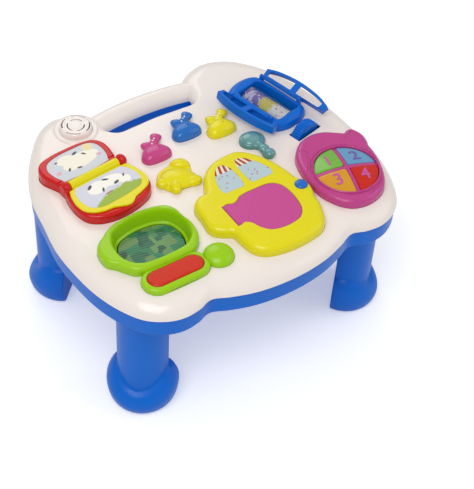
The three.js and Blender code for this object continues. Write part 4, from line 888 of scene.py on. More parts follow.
def see_through_floor():
    """Green tinted polystyrene: blocky parts of the board and a fine wire mesh show through it."""
    material, tree, place = new_material("green_tinted_polystyrene")
    inputs = {"Vector": place, "Scale": 78.0, "Randomness": 0.7}
    cells = add(tree, "ShaderNodeTexVoronoi", inputs, distance="CHEBYCHEV")
    split = add(tree, "ShaderNodeSeparateColor", {"Color": cells.outputs["Color"]})
    tone = mixed(tree, split.outputs[0], linear("#0c3c2c"), linear("#1f7a50"))
    khaki = ranged(tree, split.outputs[1], 0.66, 0.7, 0.0, 0.6)
    inputs = {"Vector": place, "Scale": 150.0, "Distortion": 1.5, "Detail": 1.0, "Detail Scale": 40.0}
    wires = add(tree, "ShaderNodeTexWave", inputs, bands_direction="DIAGONAL").outputs["Fac"]
    faint = ranged(tree, wires, 0.72, 0.9, 0.0, 0.3)
    colour = mixed(tree, faint, mixed(tree, khaki, tone, linear("#7f9c56")), linear("#a4cdb0"))
    surface(tree, colour, 0.12, noise(tree, place, 120.0), 0.00003, coat_weight=0.1, coat_roughness=0.05,
            specular_ior_level=0.2)
    return material


pad_outline = smooth(flat_loops("drum_pad", drum_floor)[0])
pad = rounded("drum_pad_look", pad_outline, drum_floor - 0.002, drum_floor, 0.0006, 3)
weld(pad, stem_under("drum_pad", *drum_place, drum_floor - 0.001))
finishes["drum_window"] = see_through_floor()
settle(pad, "drum_pad")

# Bag buttons: three press buttons of hard ABS moulded as tied bags, pink, blue and yellow. A pinched neck
# parts a smooth teardrop from a flared bow, and white dots are printed on the tie. A stem works a switch.
pouch_places = {"pouch_pink": ((-0.0455, 0.062), 26), "pouch_blue": ((0.0165, 0.081), 18),
                "pouch_yellow": ((0.0635, 0.061), 15)}
pouch_rise = 0.015
neck_offset = Vector((0.007, 0.015))
bow_height = table_top + 0.008
bow_fan = math.radians(24)
bow_start = 0.002
bow_length = 0.0175
bow_shares = [(0, 3.0, 3.6), (0.2, 4.6, 5.0), (0.45, 7.2, 6.2), (0.7, 8.6, 6.0), (0.88, 8.2, 4.8),
              (0.97, 6.6, 3.2), (1, 4.6, 1.8)]
fold_line = [(0.0025, -0.005), (0.0060, -0.0105), (0.0078, -0.0165)]
dot_offsets = [(-0.0052, 0.0004), (0.0, 0.0022), (0.0052, 0.0036)]
dot_radius = 0.0011
bow_below = 0.0042


def crown_rings(points, low, edge, top, crown, steps=12):
    """Rings of a crowned button: upright to the edge height, then drawn in to a share at the top."""
    centre = sum(points, Vector((0, 0))) / len(points)
    rings = [at_height(points, low)]
    for angle in quarter_angles(steps):
        share = crown + (1 - crown) * math.cos(angle)
        rings.append(at_height([centre.lerp(point, share) for point in points],
                               edge + (top - edge) * math.sin(angle)))
    return rings


def soften(piece, voxel=0.0005, rounds=5):
    """Blends overlapping lumps into one moulded shape."""
    remesh = piece.modifiers.new("remesh", "REMESH")
    remesh.mode = "VOXEL"
    remesh.voxel_size = voxel
    relax = piece.modifiers.new("relax", "SMOOTH")
    relax.factor = 0.5
    relax.iterations = rounds
    return bake(piece)


def dotted(neck, turn):
    """Three white dots printed across the tie."""
    def draw(tree, x, y, colour):
        spots = [neck + Matrix.Rotation(turn, 2) @ Vector(offset) for offset in dot_offsets]
        layers = [(blot(tree, x, y, spot, (dot_radius, dot_radius)), "#f4f2ee") for spot in spots]
        return painted(tree, colour, *layers)
    return draw


for node, name, colour in (("pouch_pink", "pink_abs", "#c84488"), ("pouch_blue", "sky_blue_abs", "#1c6cc0"),
                           ("pouch_yellow", "yellow_abs_with_dots", "#e6da00")):
    spot, degrees = pouch_places[node]
    turn = math.radians(degrees)
    place = Vector(spot)
    neck = place + neck_offset
    bag = skin(node + "_look", crown_rings(smooth(skirt[node]), table_top - button_foot, table_top + 0.003,
                                           table_top + pouch_rise, 0.12, 18))
    lumps = [ball("neck", Vector((neck.x, neck.y, bow_height)), (0.0058, 0.0072, 0.0050), turn)]
    for side in (-1, 1):
        ahead = Matrix.Rotation(turn + side * bow_fan, 2) @ Vector((side, 0))
        rings = []
        for share, half_breadth, half_rise in bow_shares:
            middle = neck + ahead * (bow_start + share * bow_length)
            breadth, rise = half_breadth * 0.001, half_rise * 0.001
            rings.append([Vector((middle.x - ahead.y * breadth * math.cos(a),
                                  middle.y + ahead.x * breadth * math.cos(a),
                                  bow_height - 0.001 + max(rise * math.sin(a), -bow_below)))
                          for a in round_angles(32)])
        lumps.append(skin("bow", rings))
    weld(bag, *lumps)
    folds = []
    for side in (-1, 1):
        line = [neck + Matrix.Rotation(turn, 2) @ Vector((side * x, y)) for x, y in fold_line]
        folds.append(crease("fold", line, table_top + pouch_rise - 0.0012, 0.0010))
    soften(cut(bag, *folds))
    weld(bag, stem_under(node, *spot))
    settle(bag, node, plastic(name, colour, 0.2, 0.25, print_on=dotted(neck, turn)), angle=60)

# Bell button: a press button of yellow ABS moulded as a bell lying on its side. A rolled mouth with two
# lips opens towards the front, the clapper hangs out of it, and a clasp tops the bell's crown.
bell_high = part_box("bell_button")[1].z
bell_place = Vector((-0.043, 0.008))
bell_plate = table_top + 0.005
bell_lumps = [
    ("body", -0.0455, 0.0020, 0.0255, 0.0195, 0.0105, -29),
    ("left_lip", -0.068, 0.004, 0.0105, 0.009, 0.0075, 0),
    ("right_lip", -0.028, -0.0135, 0.0115, 0.0085, 0.0075, 0),
    ("clapper", -0.0565, -0.0110, 0.0125, 0.0085, 0.0085, 59),
    ("clasp", -0.0285, 0.0245, 0.0145, 0.0085, 0.0075, -33),
]
bell_folds = [[(-0.0665, 0.0035), (-0.0560, -0.0050), (-0.0420, -0.0100), (-0.0275, -0.0085)],
              [(-0.0470, 0.0240), (-0.0380, 0.0165), (-0.0260, 0.0150), (-0.0180, 0.0175)]]
bell = rounded("bell_button_look", smooth(skirt["bell_button"]), table_top - button_foot, bell_plate,
               0.0035, 5)
lump_rise = bell_high - bell_plate + 0.001
weld(bell, *[ball(name, Vector((x, y, bell_plate - 0.001)), (a, b, min(c, lump_rise)), math.radians(turn))
             for name, x, y, a, b, c, turn in bell_lumps])
soften(cut(bell, *[crease("fold", line, bell_plate + 0.0068, 0.0009) for line in bell_folds]))
weld(bell, stem_under("bell_button", *bell_place))
settle(bell, "bell_button", angle=60)

# Lamp: a lens of teal see-through polystyrene moulded as a maraca, glued in its opening over the lamp
# board. A ball head swells out of a low rim, and a two-lobed grip runs down from it.


def tinted_lens():
    """Smoky teal polystyrene over a lamp: glossy outside, with a painted highlight that turns it paler
    towards its crown.
    """
    material, tree, place = new_material("teal_tinted_polystyrene")
    height = add(tree, "ShaderNodeSeparateXYZ", {"Vector": place}).outputs["Z"]
    # Painted highlight: the colour is mixed paler with height towards the crown, broken up by the noise.
    rise = ranged(tree, height, table_top, table_top + 0.012)
    cloud = noise(tree, place, 60.0, 3.0)
    share = sum_of(tree, "MULTIPLY", rise, cloud)
    colour = mixed(tree, share, linear("#3f8288"), linear("#8cc0c0"))
    surface(tree, colour, 0.1, cloud, 0.00003, coat_weight=0.6, coat_roughness=0.04,
            transmission_weight=0.12)
    return material


finishes["lamp_lens"] = tinted_lens()
lamp_low, lamp_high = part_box("maraca_lamp")
lamp_rim = lamp_high.z - 0.0045
lamp_lumps = [
    ("head", 0.0880, 0.0170, 0.0160, 0.0145, 0.0075),
    ("neck", 0.0915, 0.0010, 0.0060, 0.0080, 0.0050),
    ("upper_grip", 0.0925, -0.0085, 0.0080, 0.0075, 0.0062),
    ("lower_grip", 0.0945, -0.0205, 0.0085, 0.0085, 0.0062),
]
lens = rounded("maraca_lamp_look", smooth(skirt["maraca_lamp"]), lamp_low.z, lamp_rim, 0.004, 5)
weld(lens, *[ball(name, Vector((x, y, lamp_rim - 0.003)), radii) for name, x, y, *radii in lamp_lumps])
settle(soften(lens), "maraca_lamp", angle=60)

# House: a yellow moulded ABS panel with a soft rolled edge, with a pocket for the garden picture and for
# two window films. Its pink flap door hinges on a steel pin, and a blue doorbell presses at its right.
house_low, house_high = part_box("house_panel")
house_edge = 0.0095
film_depth = 0.0004
door_axis = Vector(joints["door_hinge"]["pos_m"])
door_low, door_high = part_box("house_door")
pin_low, pin_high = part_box("house_door_pin")
door_barrel = 0.0017
door_pin = 0.0009
picture_low, picture_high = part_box("house_picture")
bell_low, bell_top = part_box("doorbell_button")
bell_spot = (bell_low + bell_top) / 2
bell_radius = (bell_top.x - bell_low.x) / 2
bell_upright = 0.0004
pane_low, pane_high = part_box("house_window_left")
awning_start = pane_high.y - (pane_high.y - pane_low.y) * 0.27
awning_peak = Vector((0.027, 0.035))


def box_plate(name, low_x, low_y, high_x, high_y, low, high):
    corners = ((low_x, low_y), (high_x, low_y), (high_x, high_y), (low_x, high_y))
    return plate(name, [Vector(corner) for corner in corners], low, high)


def door_rod(name, low, high, radius, sides=24):
    """A round bar along the door's hinge, as its pin and barrel lie."""
    ends = [Vector((door_axis.x, y, door_axis.z)) for y in (low, high)]
    return rod(name, *ends, radius, sides)


pane_nodes = ("house_window_left", "house_window_right")
pane_outlines = [smooth(flat_loops(node, house_high.z)[0], sharp=40) for node in pane_nodes]
recess_outline = smooth(flat_loops("house_panel", picture_low.z)[0], sharp=50)
door_outline = smooth(flat_loops("house_door", door_low.z)[0], sharp=50)
house = rounded("house_panel_look", smooth(skirt["house_panel"]), house_low.z, house_high.z, house_edge, 10)
cut(house, plate("door_recess", recess_outline, picture_low.z, above),
    door_rod("pin_bore", pin_low.y - opening_gap, pin_high.y + opening_gap, door_pin + 0.0001),
    plate("bell_hole", circle(bell_spot, bell_radius + opening_gap), house_low.z - overrun, above),
    *[plate("pocket", inset(points, -opening_gap), house_high.z - film_depth, above)
      for points in pane_outlines])
settle(house, "house_panel")
refined("house_door_pin", 0.0001)
finishes["pink_plastic"] = plastic("pink_abs_door", "#c84a92", 0.26, 0.15, 0.02)
door = rounded("house_door_look", door_outline, door_low.z, door_high.z, 0.0012, 5)
cut(door, box_plate("barrel_room", door_axis.x - 0.05, pin_low.y, door_axis.x, pin_high.y,
                    door_low.z - overrun, above))
weld(door, door_rod("barrel", pin_low.y + 0.0013, pin_high.y - 0.0013, door_barrel, 32))
cut(door, door_rod("pin_bore", pin_low.y - overrun, pin_high.y + overrun, door_pin + 0.00015))
settle(door, "house_door")


def awning_pane(tree, place, x, y):
    """A pale pane with small flowers, under an awning of fanning red-brown stripes with a scalloped edge."""
    dx, dy = sum_of(tree, "SUBTRACT", x, awning_peak.x), sum_of(tree, "SUBTRACT", awning_peak.y, y)
    fan = sum_of(tree, "MULTIPLY", sum_of(tree, "ARCTAN2", dx, dy), 26.0)
    scallop = sum_of(tree, "MULTIPLY", sum_of(tree, "ABSOLUTE", sum_of(tree, "SINE", fan)), 0.0022)
    cloth = ranged(tree, sum_of(tree, "ADD", y, scallop), awning_start, awning_start + 0.0003)
    stripe = ranged(tree, sum_of(tree, "SINE", sum_of(tree, "MULTIPLY", fan, 2.0)), -0.1, 0.1)
    inputs = {"Vector": place, "Scale": 150.0, "Randomness": 0.7}
    flowers = add(tree, "ShaderNodeTexVoronoi", inputs).outputs["Distance"]
    petals = ranged(tree, flowers, 0.26, 0.2)
    hearts = ranged(tree, flowers, 0.11, 0.08)
    pane = painted(tree, linear("#b9cdd2"), (petals, "#c06c98"), (hearts, "#e8d860"))
    return mixed(tree, cloth, pane, painted(tree, linear("#ece0c8"), (stripe, "#a83a2c")))


def garden(tree, place, x, y):
    """Under the door: pale sky, a green lawn, a round tree, a small sun and a path."""
    spots = [((0.020, -0.150), (0.060, 0.022), 0, "#86c05a"), ((0.034, -0.112), (0.014, 0.014), 0, "#4f9c48"),
             ((0.000, -0.104), (0.007, 0.007), 0, "#f2cf4a"),
             ((0.016, -0.140), (0.008, 0.016), -0.3, "#e6d2a6")]
    return painted(tree, linear("#bfe0ee"), *[(blot(tree, x, y, *spot[:3]), spot[3]) for spot in spots])


pane_film = film("printed_window_film", awning_pane)
for node, points in zip(pane_nodes, pane_outlines):
    settle(rounded(node + "_look", points, pane_low.z, pane_high.z, 0.0002, 2), node, pane_film)
picture_outline = smooth(flat_loops("house_picture", picture_high.z)[0])
settle(rounded("house_picture_look", picture_outline, picture_low.z, picture_high.z, 0.0002, 2),
       "house_picture", film("printed_garden_film", garden))
finishes["button_blue"] = plastic("blue_abs", "#1468c4", 0.22, 0.2)
bell_profile = button_profile(bell_radius, house_high.z - button_foot, house_high.z + bell_upright,
                              bell_top.z, 10, 0.8)
doorbell = lathe("doorbell_button_look", bell_spot, bell_profile, 64)
weld(doorbell, stem_under("doorbell_button", *bell_spot[:2], house_high.z - 0.004))
settle(doorbell, "doorbell_button")

# Window: a blue moulded frame like a fat rounded bar round a well, with four hinge ears, snapped into the
# shell. In the well a clear tube turns on a steel axle, and a toothed thumb wheel on it shows in front.
window_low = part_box("window_frame")[0].z
roller_centre = Vector(joints["roller_spin"]["pos_m"])
window_along = Vector(joints["roller_spin"]["axis"])
window_along *= math.copysign(1, window_along.y)
window_across = Vector((window_along.y, -window_along.x, 0))
window_turn = math.atan2(window_across.y, window_across.x)
bar_top = table_top + 0.016
bar_edge = 0.0115
well_lip = 0.003
tube_span = (-0.041, 0.037)
tube_radius = 0.020
tube_wall = 0.0015
axle_radius = 0.003
knuckle_radius = 0.003
knuckle_half = 0.034
ear_thickness = 0.005
hinge_pin = 0.0012
axle_reach = (-0.075, 0.0415)
well = flat_loops("window_frame", window_low)[1]
leaf_hinges = {side: Vector(joints[f"shutter_{side}_hinge"]["pos_m"]) for side in ("left", "right")}


def soft_corners(points, radii, sides=8):
    """An outline with each sharp corner rounded off, by one radius or one for each corner."""
    soft = []
    for i, point in enumerate(points):
        before, after = points[i - 1] - point, points[(i + 1) % len(points)] - point
        if before.angle(-after, 0) < math.radians(20):
            soft.append(point)
            continue
        radius = radii[i] if isinstance(radii, list) else radii
        start = point + before.normalized() * min(radius, before.length * 0.45)
        end = point + after.normalized() * min(radius, after.length * 0.45)
        soft += [start * (1 - t) ** 2 + point * 2 * t * (1 - t) + end * t**2
                 for t in (k / sides for k in range(sides + 1))]
    return soft


def window_rod(name, low, high, radius, centre=roller_centre, sides=32, soft=0.0):
    return rod(name, centre + window_along * low, centre + window_along * high, radius, sides, soft)


well_middle = sum(well, Vector((0, 0))) / 4
well_corners = [0.010 if (point - well_middle).dot(window_along.xy) > 0 else 0.004 for point in well]
well_outline = soft_corners(well, well_corners)
well_rings = [at_height(well_outline, z) for z in (window_low - overrun, bar_top - well_lip)]
for angle in quarter_angles(5)[1:]:
    flare = inset(well_outline, -well_lip * (1 - math.cos(angle)))
    well_rings.append(at_height(flare, bar_top - well_lip + well_lip * math.sin(angle)))
well_rings.append(at_height(inset(well_outline, -well_lip), bar_top + 0.001))
bar = rounded("window_frame_look", smooth(skirt["window_frame"]), window_low, bar_top, bar_edge, 12)
cut(bar, skin("well", well_rings))
for pivot in leaf_hinges.values():
    for end in (-1, 1):
        near, far = (end * (knuckle_half + opening_gap + reach) for reach in (0, ear_thickness))
        corners = [pivot + window_along * a + window_across * b * knuckle_radius
                   for a, b in ((near, -1), (near, 1), (far, 1), (far, -1))]
        weld(bar, window_rod("ear", min(near, far), max(near, far), knuckle_radius, pivot, 32, 0.0006),
             plate("ear_foot", flat(corners), table_top, pivot.z))
pin_reach = knuckle_half + opening_gap + ear_thickness / 2
cut(bar, window_rod("axle_bore", *axle_reach, axle_radius + opening_gap),
    *[window_rod("pin_bore", -pin_reach, pin_reach, hinge_pin + 0.00015, pivot, 20)
      for pivot in leaf_hinges.values()])
settle(bar, "window_frame")
for node in ("shutter_pin_left", "shutter_pin_right"):
    refined(node, 0.0001)
refined("roller_axle", 0.0003)

# Shutters: two leaves of the same blue ABS, each a slim bowed bar round two open panes and hollow behind.
# They stand half open on steel pins, and their long curved sides make the outline of the window arch.
leaf_tilts = {"left": 12, "right": 25}
leaf_stretch = {"left": (1.03, 0.006), "right": (1.09, -0.002)}
leaf_half = 0.0025 / 2
leaf_depth = 0.013
leaf_wall = 0.0022
leaf_edge = 0.0024
pane_end = 0.036
room_start = -0.002
room_share = 0.45
web_depth = 2.2 * knuckle_radius
for side, way in (("left", -1), ("right", 1)):
    node = "shutter_" + side
    turn = Matrix.Translation(leaf_hinges[side]) @ Matrix.Rotation(window_turn, 4, "Z")
    turn = turn @ Matrix.Rotation(math.radians(-way * leaf_tilts[side]), 4, "Y")
    stretch, shift = leaf_stretch[side]
    loops = [[Vector((point.x, point.y * stretch + shift)) for point in loop]
             for loop in flat_loops(node, leaf_half, turn.inverted())]
    outer = smooth(loops[0], sharp=50)
    leaf = rounded(node + "_look", outer, leaf_half - leaf_depth, leaf_half, leaf_edge, 6)
    reach = max(point.x * way for point in outer)
    room_end = reach * room_share
    room = [Vector((way * x, y * pane_end))
            for x, y in ((room_start, -1), (room_end, -1), (room_end, 1), (room_start, 1))]
    web = [Vector((way * x, y * knuckle_half)) for x, y in ((0, -1), (0, 1), (web_depth, 1), (web_depth, -1))]
    knuckle_ends = [Vector((0, y, 0)) for y in (-knuckle_half, knuckle_half)]
    cut(leaf, plate("hollow", inset(outer, leaf_wall), -2 * leaf_depth, -leaf_half),
        plate("clear", flat(room), -2 * leaf_depth, -leaf_half))
    weld(leaf, plate("web", flat(web), -leaf_half, leaf_half),
         rod("knuckle", *knuckle_ends, knuckle_radius, 32, 0.0004))
    cut(leaf, rod("pin_bore", Vector((0, -0.06, 0)), Vector((0, 0.06, 0)), hinge_pin + 0.00015, 20),
        *[plate("pane", soft_corners(loop, 0.004), -leaf_depth, leaf_depth) for loop in loops[1:]])
    leaf.data.transform(turn)
    settle(leaf, node)

# Roller: a clear moulded polystyrene tube with a printed paper drum inside it, both on the steel axle.
# A blue thumb wheel with fine ribs sits on the same axle, and turning it spins them all.
wheel_span = (-0.082, -0.066)
wheel_radius = 0.0235
wheel_ribs = {"Ribs": 36.0, "Depth": 0.0013, "Sharpness": 1.6}
rib_steps = 8
wheel_crown = 0.0035
print_radius = 0.017
drum_inner = tube_radius - tube_wall - opening_gap


def about_axle(along, angle, radius):
    """The spot at a distance along the roller's axis, an angle round it and a radius."""
    outwards = window_across * math.cos(angle) + Vector((0, 0, math.sin(angle)))
    return roller_centre + window_along * along + outwards * radius


def spun(name, profile, sides=96):
    """A piece turned about the roller's axis, from a profile of distance along it and radius."""
    return skin(name, [[about_axle(along, a, radius) for along, radius in profile]
                       for a in round_angles(sides)], closed=True)


def clear_tube():
    """Clear moulded polystyrene."""
    material, tree, place = new_material("clear_polystyrene")
    wave = noise(tree, place, 90.0)
    surface(tree, mixed(tree, wave, linear("#f4f8fb"), linear("#fcfdff")), 0.03, wave, 0.00005,
            transmission_weight=0.97, ior=1.3)
    return material


def printed_drum():
    """Printed paper: pale lilac with a violet patch at the rear, yellow in the middle, whitish in front."""
    material, tree, place = new_material("printed_drum_paper")
    split = add(tree, "ShaderNodeSeparateXYZ", {"Vector": place})
    dx = sum_of(tree, "SUBTRACT", split.outputs["X"], roller_centre.x)
    dy = sum_of(tree, "SUBTRACT", split.outputs["Y"], roller_centre.y)
    along = sum_of(tree, "ADD", sum_of(tree, "MULTIPLY", dx, window_along.x),
                   sum_of(tree, "MULTIPLY", dy, window_along.y))
    swirl = noise(tree, place, 55.0, 1.0, 1.2)
    wander = sum_of(tree, "MULTIPLY_ADD", swirl, 0.018, along)
    yellow = ranged(tree, wander, 0.020, 0.014)
    front = ranged(tree, wander, -0.002, -0.006)
    blotches = ranged(tree, noise(tree, place, 42.0, 1.0, 0.8), 0.5, 0.54)
    patch = sum_of(tree, "MULTIPLY", blotches, ranged(tree, wander, 0.014, 0.018))
    cells = add(tree, "ShaderNodeTexVoronoi", {"Vector": place, "Scale": 160.0}).outputs["Distance"]
    beads = ranged(tree, cells, 0.24, 0.2)
    colour = painted(tree, linear("#cfc6e4"), (patch, "#6a50b0"), (yellow, "#d8c840"), (front, "#ece8e4"),
                     (sum_of(tree, "MULTIPLY", beads, front), "#c8508c"),
                     (sum_of(tree, "MULTIPLY", beads, patch), "#e8e0f4"))
    surface(tree, colour, 0.4, swirl, 0.00003)
    return material


finishes["roller_clear"] = clear_tube()
finishes["roller_print"] = printed_drum()
start, end = tube_span
tube_profile = [(start, tube_radius - tube_wall), (start + 0.0004, tube_radius),
                (end - 0.0004, tube_radius), (end, tube_radius - tube_wall)]
settle(spun("roller_tube_look", tube_profile), "roller_tube")
drum_profile = [(start, axle_radius + 0.0001), (start, drum_inner), (start + tube_wall, drum_inner),
                (start + tube_wall, print_radius), (end - tube_wall, print_radius),
                (end - tube_wall, drum_inner), (end, drum_inner), (end, axle_radius + 0.0001)]
settle(spun("roller_drum_look", drum_profile), "roller_drum")


def ribs_round_axle():
    """Geometry Nodes: presses soft grooves into a blank wheel all round its axle, so that ribs stand."""
    tree, given = node_tree("ribs_round_axle", {"Wheel": "Geometry", "Ribs": "Float", "Depth": "Float",
                                                "Sharpness": "Float"})
    spot = add(tree, "GeometryNodeInputPosition").outputs[0]
    offset = add(tree, "ShaderNodeVectorMath", {0: spot, 1: roller_centre}, operation="SUBTRACT").outputs[0]
    along = add(tree, "ShaderNodeVectorMath", {0: offset, 1: window_along}, operation="PROJECT").outputs[0]
    radial = add(tree, "ShaderNodeVectorMath", {0: offset, 1: along}, operation="SUBTRACT").outputs[0]
    across = add(tree, "ShaderNodeVectorMath", {0: offset, 1: window_across}, operation="DOT_PRODUCT")
    rise = add(tree, "ShaderNodeSeparateXYZ", {"Vector": offset}).outputs["Z"]
    angle = sum_of(tree, "ARCTAN2", rise, across.outputs["Value"])
    wave = sum_of(tree, "COSINE", sum_of(tree, "MULTIPLY", angle, given["Ribs"]))
    steep = sum_of(tree, "TANH", sum_of(tree, "MULTIPLY", wave, given["Sharpness"]))
    crest = sum_of(tree, "DIVIDE", steep, sum_of(tree, "TANH", given["Sharpness"]))
    depth = sum_of(tree, "MULTIPLY", ranged(tree, crest, -1.0, 1.0, -1.0, 0.0), given["Depth"])
    outwards = add(tree, "ShaderNodeVectorMath", {0: radial}, operation="NORMALIZE").outputs[0]
    move = add(tree, "ShaderNodeVectorMath", {0: outwards, "Scale": depth}, operation="SCALE").outputs[0]
    pressed = add(tree, "GeometryNodeSetPosition", {"Geometry": given["Wheel"], "Offset": move}).outputs[0]
    return end_tree(tree, pressed, finishes["blue_plastic"])


rings = []
for share in (-1, -0.97, -0.9, -0.75, -0.5, -0.25, 0, 0.25, 0.5, 0.75, 0.9, 0.97, 1):
    along = sum(wheel_span) / 2 + share * (wheel_span[1] - wheel_span[0]) / 2
    radius = wheel_radius - wheel_crown * (1 - math.sqrt(1 - share**4 * 0.98))
    rings.append([about_axle(along, a, radius) for a in round_angles(int(wheel_ribs["Ribs"]) * rib_steps)])
wheel = grow(skin("roller_wheel_look", rings), ribs_round_axle(), wheel_ribs)
cut(wheel, window_rod("bore", wheel_span[0] - overrun, wheel_span[1] + overrun, axle_radius + 0.0001))
settle(wheel, "roller_wheel")

# Number panel: a magenta moulded ABS plate with a fat rolled edge, and a raised lip round the dial. Its
# cross arms part four see-through quarter keys, whose stems work switches. Fine creases are moulded in it.
panel_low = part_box("number_panel")[0].z
panel_top = table_top + 0.013
panel_edge = 0.0078
dial_place = Vector((0.162, -0.1105))
dial_radius = 0.046
dial_turn = math.radians(-14)
lip_width = 0.003
lip_rise = 0.0021
ring_groove = 0.0013
key_edge = table_top + 0.0125
key_crown = table_top + 0.019
key_spacing = 0.003
key_bottom = table_top - 0.0065
key_corner = 0.004
key_stem = 0.0219
arm_drop = 0.001
panel_creases = [
    [(0.1200, -0.0440), (0.1320, -0.0480), (0.1334, -0.0570), (0.1240, -0.0730), (0.1120, -0.0870)],
    [(0.1658, -0.1648), (0.1768, -0.1609), (0.1879, -0.1536)],
    [(0.0933, -0.1363), (0.1034, -0.1458), (0.1117, -0.1575), (0.1099, -0.1621)],
]


def dial_height(point, drop=0.0):
    away = min(1.0, (point - dial_place).length / dial_radius)
    return key_edge + (key_crown - key_edge) * (1 - away**2) - drop


def on_dial(x, y):
    return dial_place + Matrix.Rotation(dial_turn, 2) @ Vector((x, y))


panel = rounded("number_panel_look", smooth(skirt["number_panel"]), panel_low, panel_top, panel_edge, 10)
lip_outer = dial_radius + lip_width
lip_top = panel_top + lip_rise
lip_profile = [(core, panel_top - 0.004), (lip_outer, panel_top - 0.004), (lip_outer, panel_top),
               (lip_outer - 0.0003, lip_top - 0.0007), (lip_outer - 0.001, lip_top),
               (dial_radius + 0.0012, lip_top), (dial_radius + 0.0005, lip_top - 0.0005),
               (core, lip_top - 0.0006)]
weld(panel, lathe("lip", dial_place, lip_profile, 128))
ring_profile = [(lip_outer + ring_groove + ring_groove * math.cos(a), panel_top + ring_groove * math.sin(a))
                for a in round_angles(12)]
cut(panel, plate("dial", circle(dial_place, dial_radius + opening_gap, 128), panel_low - overrun, above))
cut(panel, lathe("ring_groove", dial_place, ring_profile, 128))
cut(panel, *[crease("panel_crease", line, panel_top, 0.0013) for line in panel_creases])
arms = []
for quarter in (0, math.pi / 2):
    across = Matrix.Rotation(dial_turn + quarter, 2)
    half = key_spacing - opening_gap
    rings = []
    for step in range(25):
        along = (dial_radius + lip_width / 2) * (step / 12 - 1)
        z = dial_height(dial_place + across @ Vector((along, 0)), arm_drop)
        section = ((-half, key_bottom), (half, key_bottom), (half, z - 0.0006), (half * 0.76, z),
                   (-half * 0.76, z), (-half, z - 0.0006))
        rings.append([Vector((*(dial_place + across @ Vector((along, side))), height))
                      for side, height in section])
    arms.append(skin("arm", rings))
weld(panel, *arms)
finishes["magenta_plastic"] = plastic("magenta_abs", "#c0408a", 0.26, 0.15, 0.03)
settle(panel, "number_panel")

# Keys: four quarter keys of see-through tinted polystyrene, green, blue, amber and red. They dome up to
# the dial's middle, and each carries a plain numeral pad-printed in a pink or violet ink.
numeral_size = 0.028
numeral_lift = 0.0005
numeral_offset = Vector((0.0205, 0.01927))
key_colours = {"key_green": ("green", "#74b63c"), "key_blue": ("blue", "#649cc4"),
               "key_orange": ("amber", "#d89a1c"), "key_red": ("red", "#cc1c00")}
pink_ink = plastic("pink_pad_ink", "#c85a9c", 0.4, 0.1)
inks = [pink_ink, plastic("violet_pad_ink", "#7458a8", 0.4, 0.1), pink_ink, pink_ink]
for slot, (name, colour) in key_colours.items():
    finishes[slot] = plastic(name + "_tinted_polystyrene_key", colour, 0.16, 0.3, 0.08)


def numeral_mesh(text, spot):
    """A raised numeral as a mesh, standing through the dome at its place."""
    font = bpy.data.curves.new("numeral", "FONT")
    font.body = text
    font.size = numeral_size
    font.extrude = 0.005
    font.offset = 0.0003
    font.resolution_u = 6
    font.align_x, font.align_y = "CENTER", "CENTER"
    holder = new_piece("numeral_text", font)
    holder.matrix_world = Matrix.Translation((*spot, dial_height(spot))) @ Matrix.Rotation(dial_turn, 4, "Z")
    bpy.context.view_layer.update()
    mesh = bpy.data.meshes.new_from_object(holder.evaluated_get(bpy.context.evaluated_depsgraph_get()))
    mesh.transform(holder.matrix_world)
    bpy.data.objects.remove(holder)
    work = bmesh.new()
    work.from_mesh(mesh)
    bmesh.ops.remove_doubles(work, verts=work.verts, dist=0.00001)
    bmesh.ops.recalc_face_normals(work, faces=work.faces)
    work.to_mesh(mesh)
    work.free()
    return mesh


for i, (x, y) in enumerate(((-1, 1), (1, 1), (-1, -1), (1, -1))):
    node = f"key_{i + 1}"
    start = math.asin(key_spacing / dial_radius)
    arc = [start + (math.pi / 2 - 2 * start) * k / 24 for k in range(25)]
    corners = [(dial_radius * math.cos(a), dial_radius * math.sin(a)) for a in arc]
    corners.insert(0, (key_spacing, key_spacing))
    outline = soft_corners(flat([on_dial(x * a, y * b) for a, b in corners]), key_corner)
    dense = []
    for a, b in zip(outline, outline[1:] + outline[:1]):
        count = max(1, int((b - a).length / 0.002))
        dense += [a.lerp(b, k / count) for k in range(count)]
    heart = sum(dense, Vector((0, 0))) / len(dense)
    rings = [at_height(dense, key_bottom)]
    for step, drop in ((0.0, 0.0018), (0.0002, 0.001), (0.0007, 0.0003), (0.0015, 0.0)):
        rings.append([Vector((p.x, p.y, dial_height(p, drop))) for p in inset(dense, step)])
    for share in (0.85, 0.7, 0.55, 0.4, 0.25, 0.1):
        inner = [heart.lerp(p, share) for p in inset(dense, 0.0015)]
        rings.append([Vector((p.x, p.y, dial_height(p))) for p in inner])
    key = skin(node + "_look", rings)
    weld(key, stem_under(node, *on_dial(x * key_stem, y * key_stem), key_bottom + 0.002))
    settle(key, node, angle=40)
    middle = on_dial(x * numeral_offset.x, y * numeral_offset.y)
    numeral = new_piece(f"numeral_{i + 1}", numeral_mesh(str(i + 1), middle))
    dome_rings = [at_height(circle(dial_place, dial_radius), key_bottom)]
    for share in [1 - k / 16 for k in range(16)]:
        dome_rings.append([Vector((p.x, p.y, dial_height(p) + numeral_lift))
                           for p in circle(dial_place, dial_radius * share)])
    combine(numeral, [skin("raised_dome", dome_rings)], "INTERSECT")
    shade(numeral, inks[i], 35)
    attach(numeral, frame["nodes"][node]["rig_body"])

# Underside: six steel screws hold the shell to the tray, and a door covers the cells. The circuit boards,
# the switch and the contacts keep their CAD forms, because they are hidden, and only get soft edges.
finishes["black_plastic"] = plastic("black_abs", "#202226", 0.4, 0.1)


def circuit_board():
    """Glass-fibre laminate with green solder mask and fine copper tracks."""
    material, tree, place = new_material("green_solder_mask")
    inputs = {"Vector": place, "Scale": 260.0}
    cells = add(tree, "ShaderNodeTexVoronoi", inputs, feature="DISTANCE_TO_EDGE").outputs["Distance"]
    tracks = ranged(tree, cells, 0.10, 0.06)
    surface(tree, mixed(tree, tracks, linear("#1f5c3a"), linear("#3f8a58")), 0.35, tracks, 0.00004)
    return material


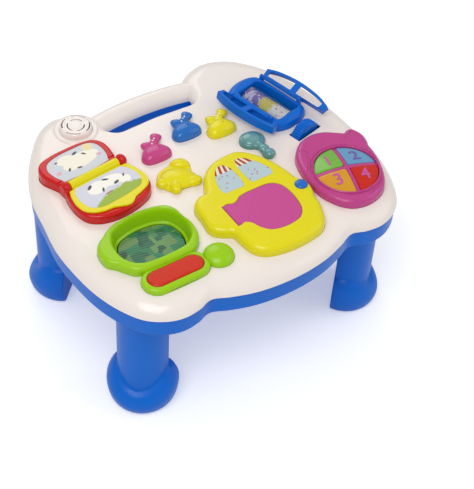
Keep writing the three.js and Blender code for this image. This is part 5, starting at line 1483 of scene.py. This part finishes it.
finishes["board_green"] = circuit_board()
hidden_pieces = ("shell_screw", "battery", "power_switch", "main_board", "drum_board", "number_board")
for node in frame["nodes"]:
    if node.startswith(hidden_pieces):
        refined(node, 0.0002)

# Stage: a plain white paper floor, a large soft lamp over the table's front and two weaker ones. The camera
# stands where the photograph was taken from, high beyond the table's front left corner.
floor_glow = 0.3


def paper_floor():
    """White seamless paper with a faint tooth; seen directly it gives a little light of its own."""
    material, tree, place = new_material("white_paper")
    tooth = noise(tree, place, 300.0, 3.0)
    rays = add(tree, "ShaderNodeLightPath").outputs
    seen = sum_of(tree, "MAXIMUM", rays["Is Camera Ray"], rays["Is Transmission Ray"])
    surface(tree, mixed(tree, tooth, linear("#f6f6f6"), linear("#fbfbfb")), 0.8, tooth, 0.00005,
            emission_color=(1.0, 1.0, 1.0, 1.0), emission_strength=sum_of(tree, "MULTIPLY", seen, floor_glow))
    return material


floor = box_plate("floor", -3.0, -3.0, 3.0, 3.0, -0.02, 0.0)
floor.data.materials.append(paper_floor())


def soft_lamp(name, place, size, power, aim=Vector((0, 0, 0.15))):
    lamp = bpy.data.lights.new(name, "AREA")
    lamp.shape = "SQUARE"
    lamp.size = size
    lamp.energy = power
    holder = new_piece(name, lamp)
    holder.location = place
    holder.rotation_euler = (aim - Vector(place)).to_track_quat("-Z", "Y").to_euler()
    return holder


soft_lamp("key_light", (-0.9, -0.7, 1.9), 1.2, 18)
soft_lamp("fill_light", (1.4, -0.9, 1.2), 1.4, 5)
soft_lamp("back_light", (0.3, 1.6, 1.4), 1.2, 7)
world = bpy.data.worlds.new("studio")
world.use_nodes = True
world.node_tree.nodes["Background"].inputs["Color"].default_value = (1, 1, 1, 1)
world.node_tree.nodes["Background"].inputs["Strength"].default_value = 0.5
scene = bpy.context.scene
scene.world = world
scene.view_settings.view_transform = "Standard"

camera_place = Vector((-0.7396, -1.0664, 1.4535))
camera_target = Vector((0.0074, -0.075, 0.150))
camera_roll = 4.3
view = bpy.data.cameras.new("photo_camera")
view.lens = 96.15
view.sensor_width = 36.0
view.sensor_fit = "HORIZONTAL"
camera = new_piece("photo_camera", view)
facing = (camera_target - camera_place).to_track_quat("-Z", "Y").to_matrix().to_4x4()
roll = Matrix.Rotation(math.radians(camera_roll), 4, "Z")
camera.matrix_world = Matrix.Translation(camera_place) @ facing @ roll
scene.camera = camera
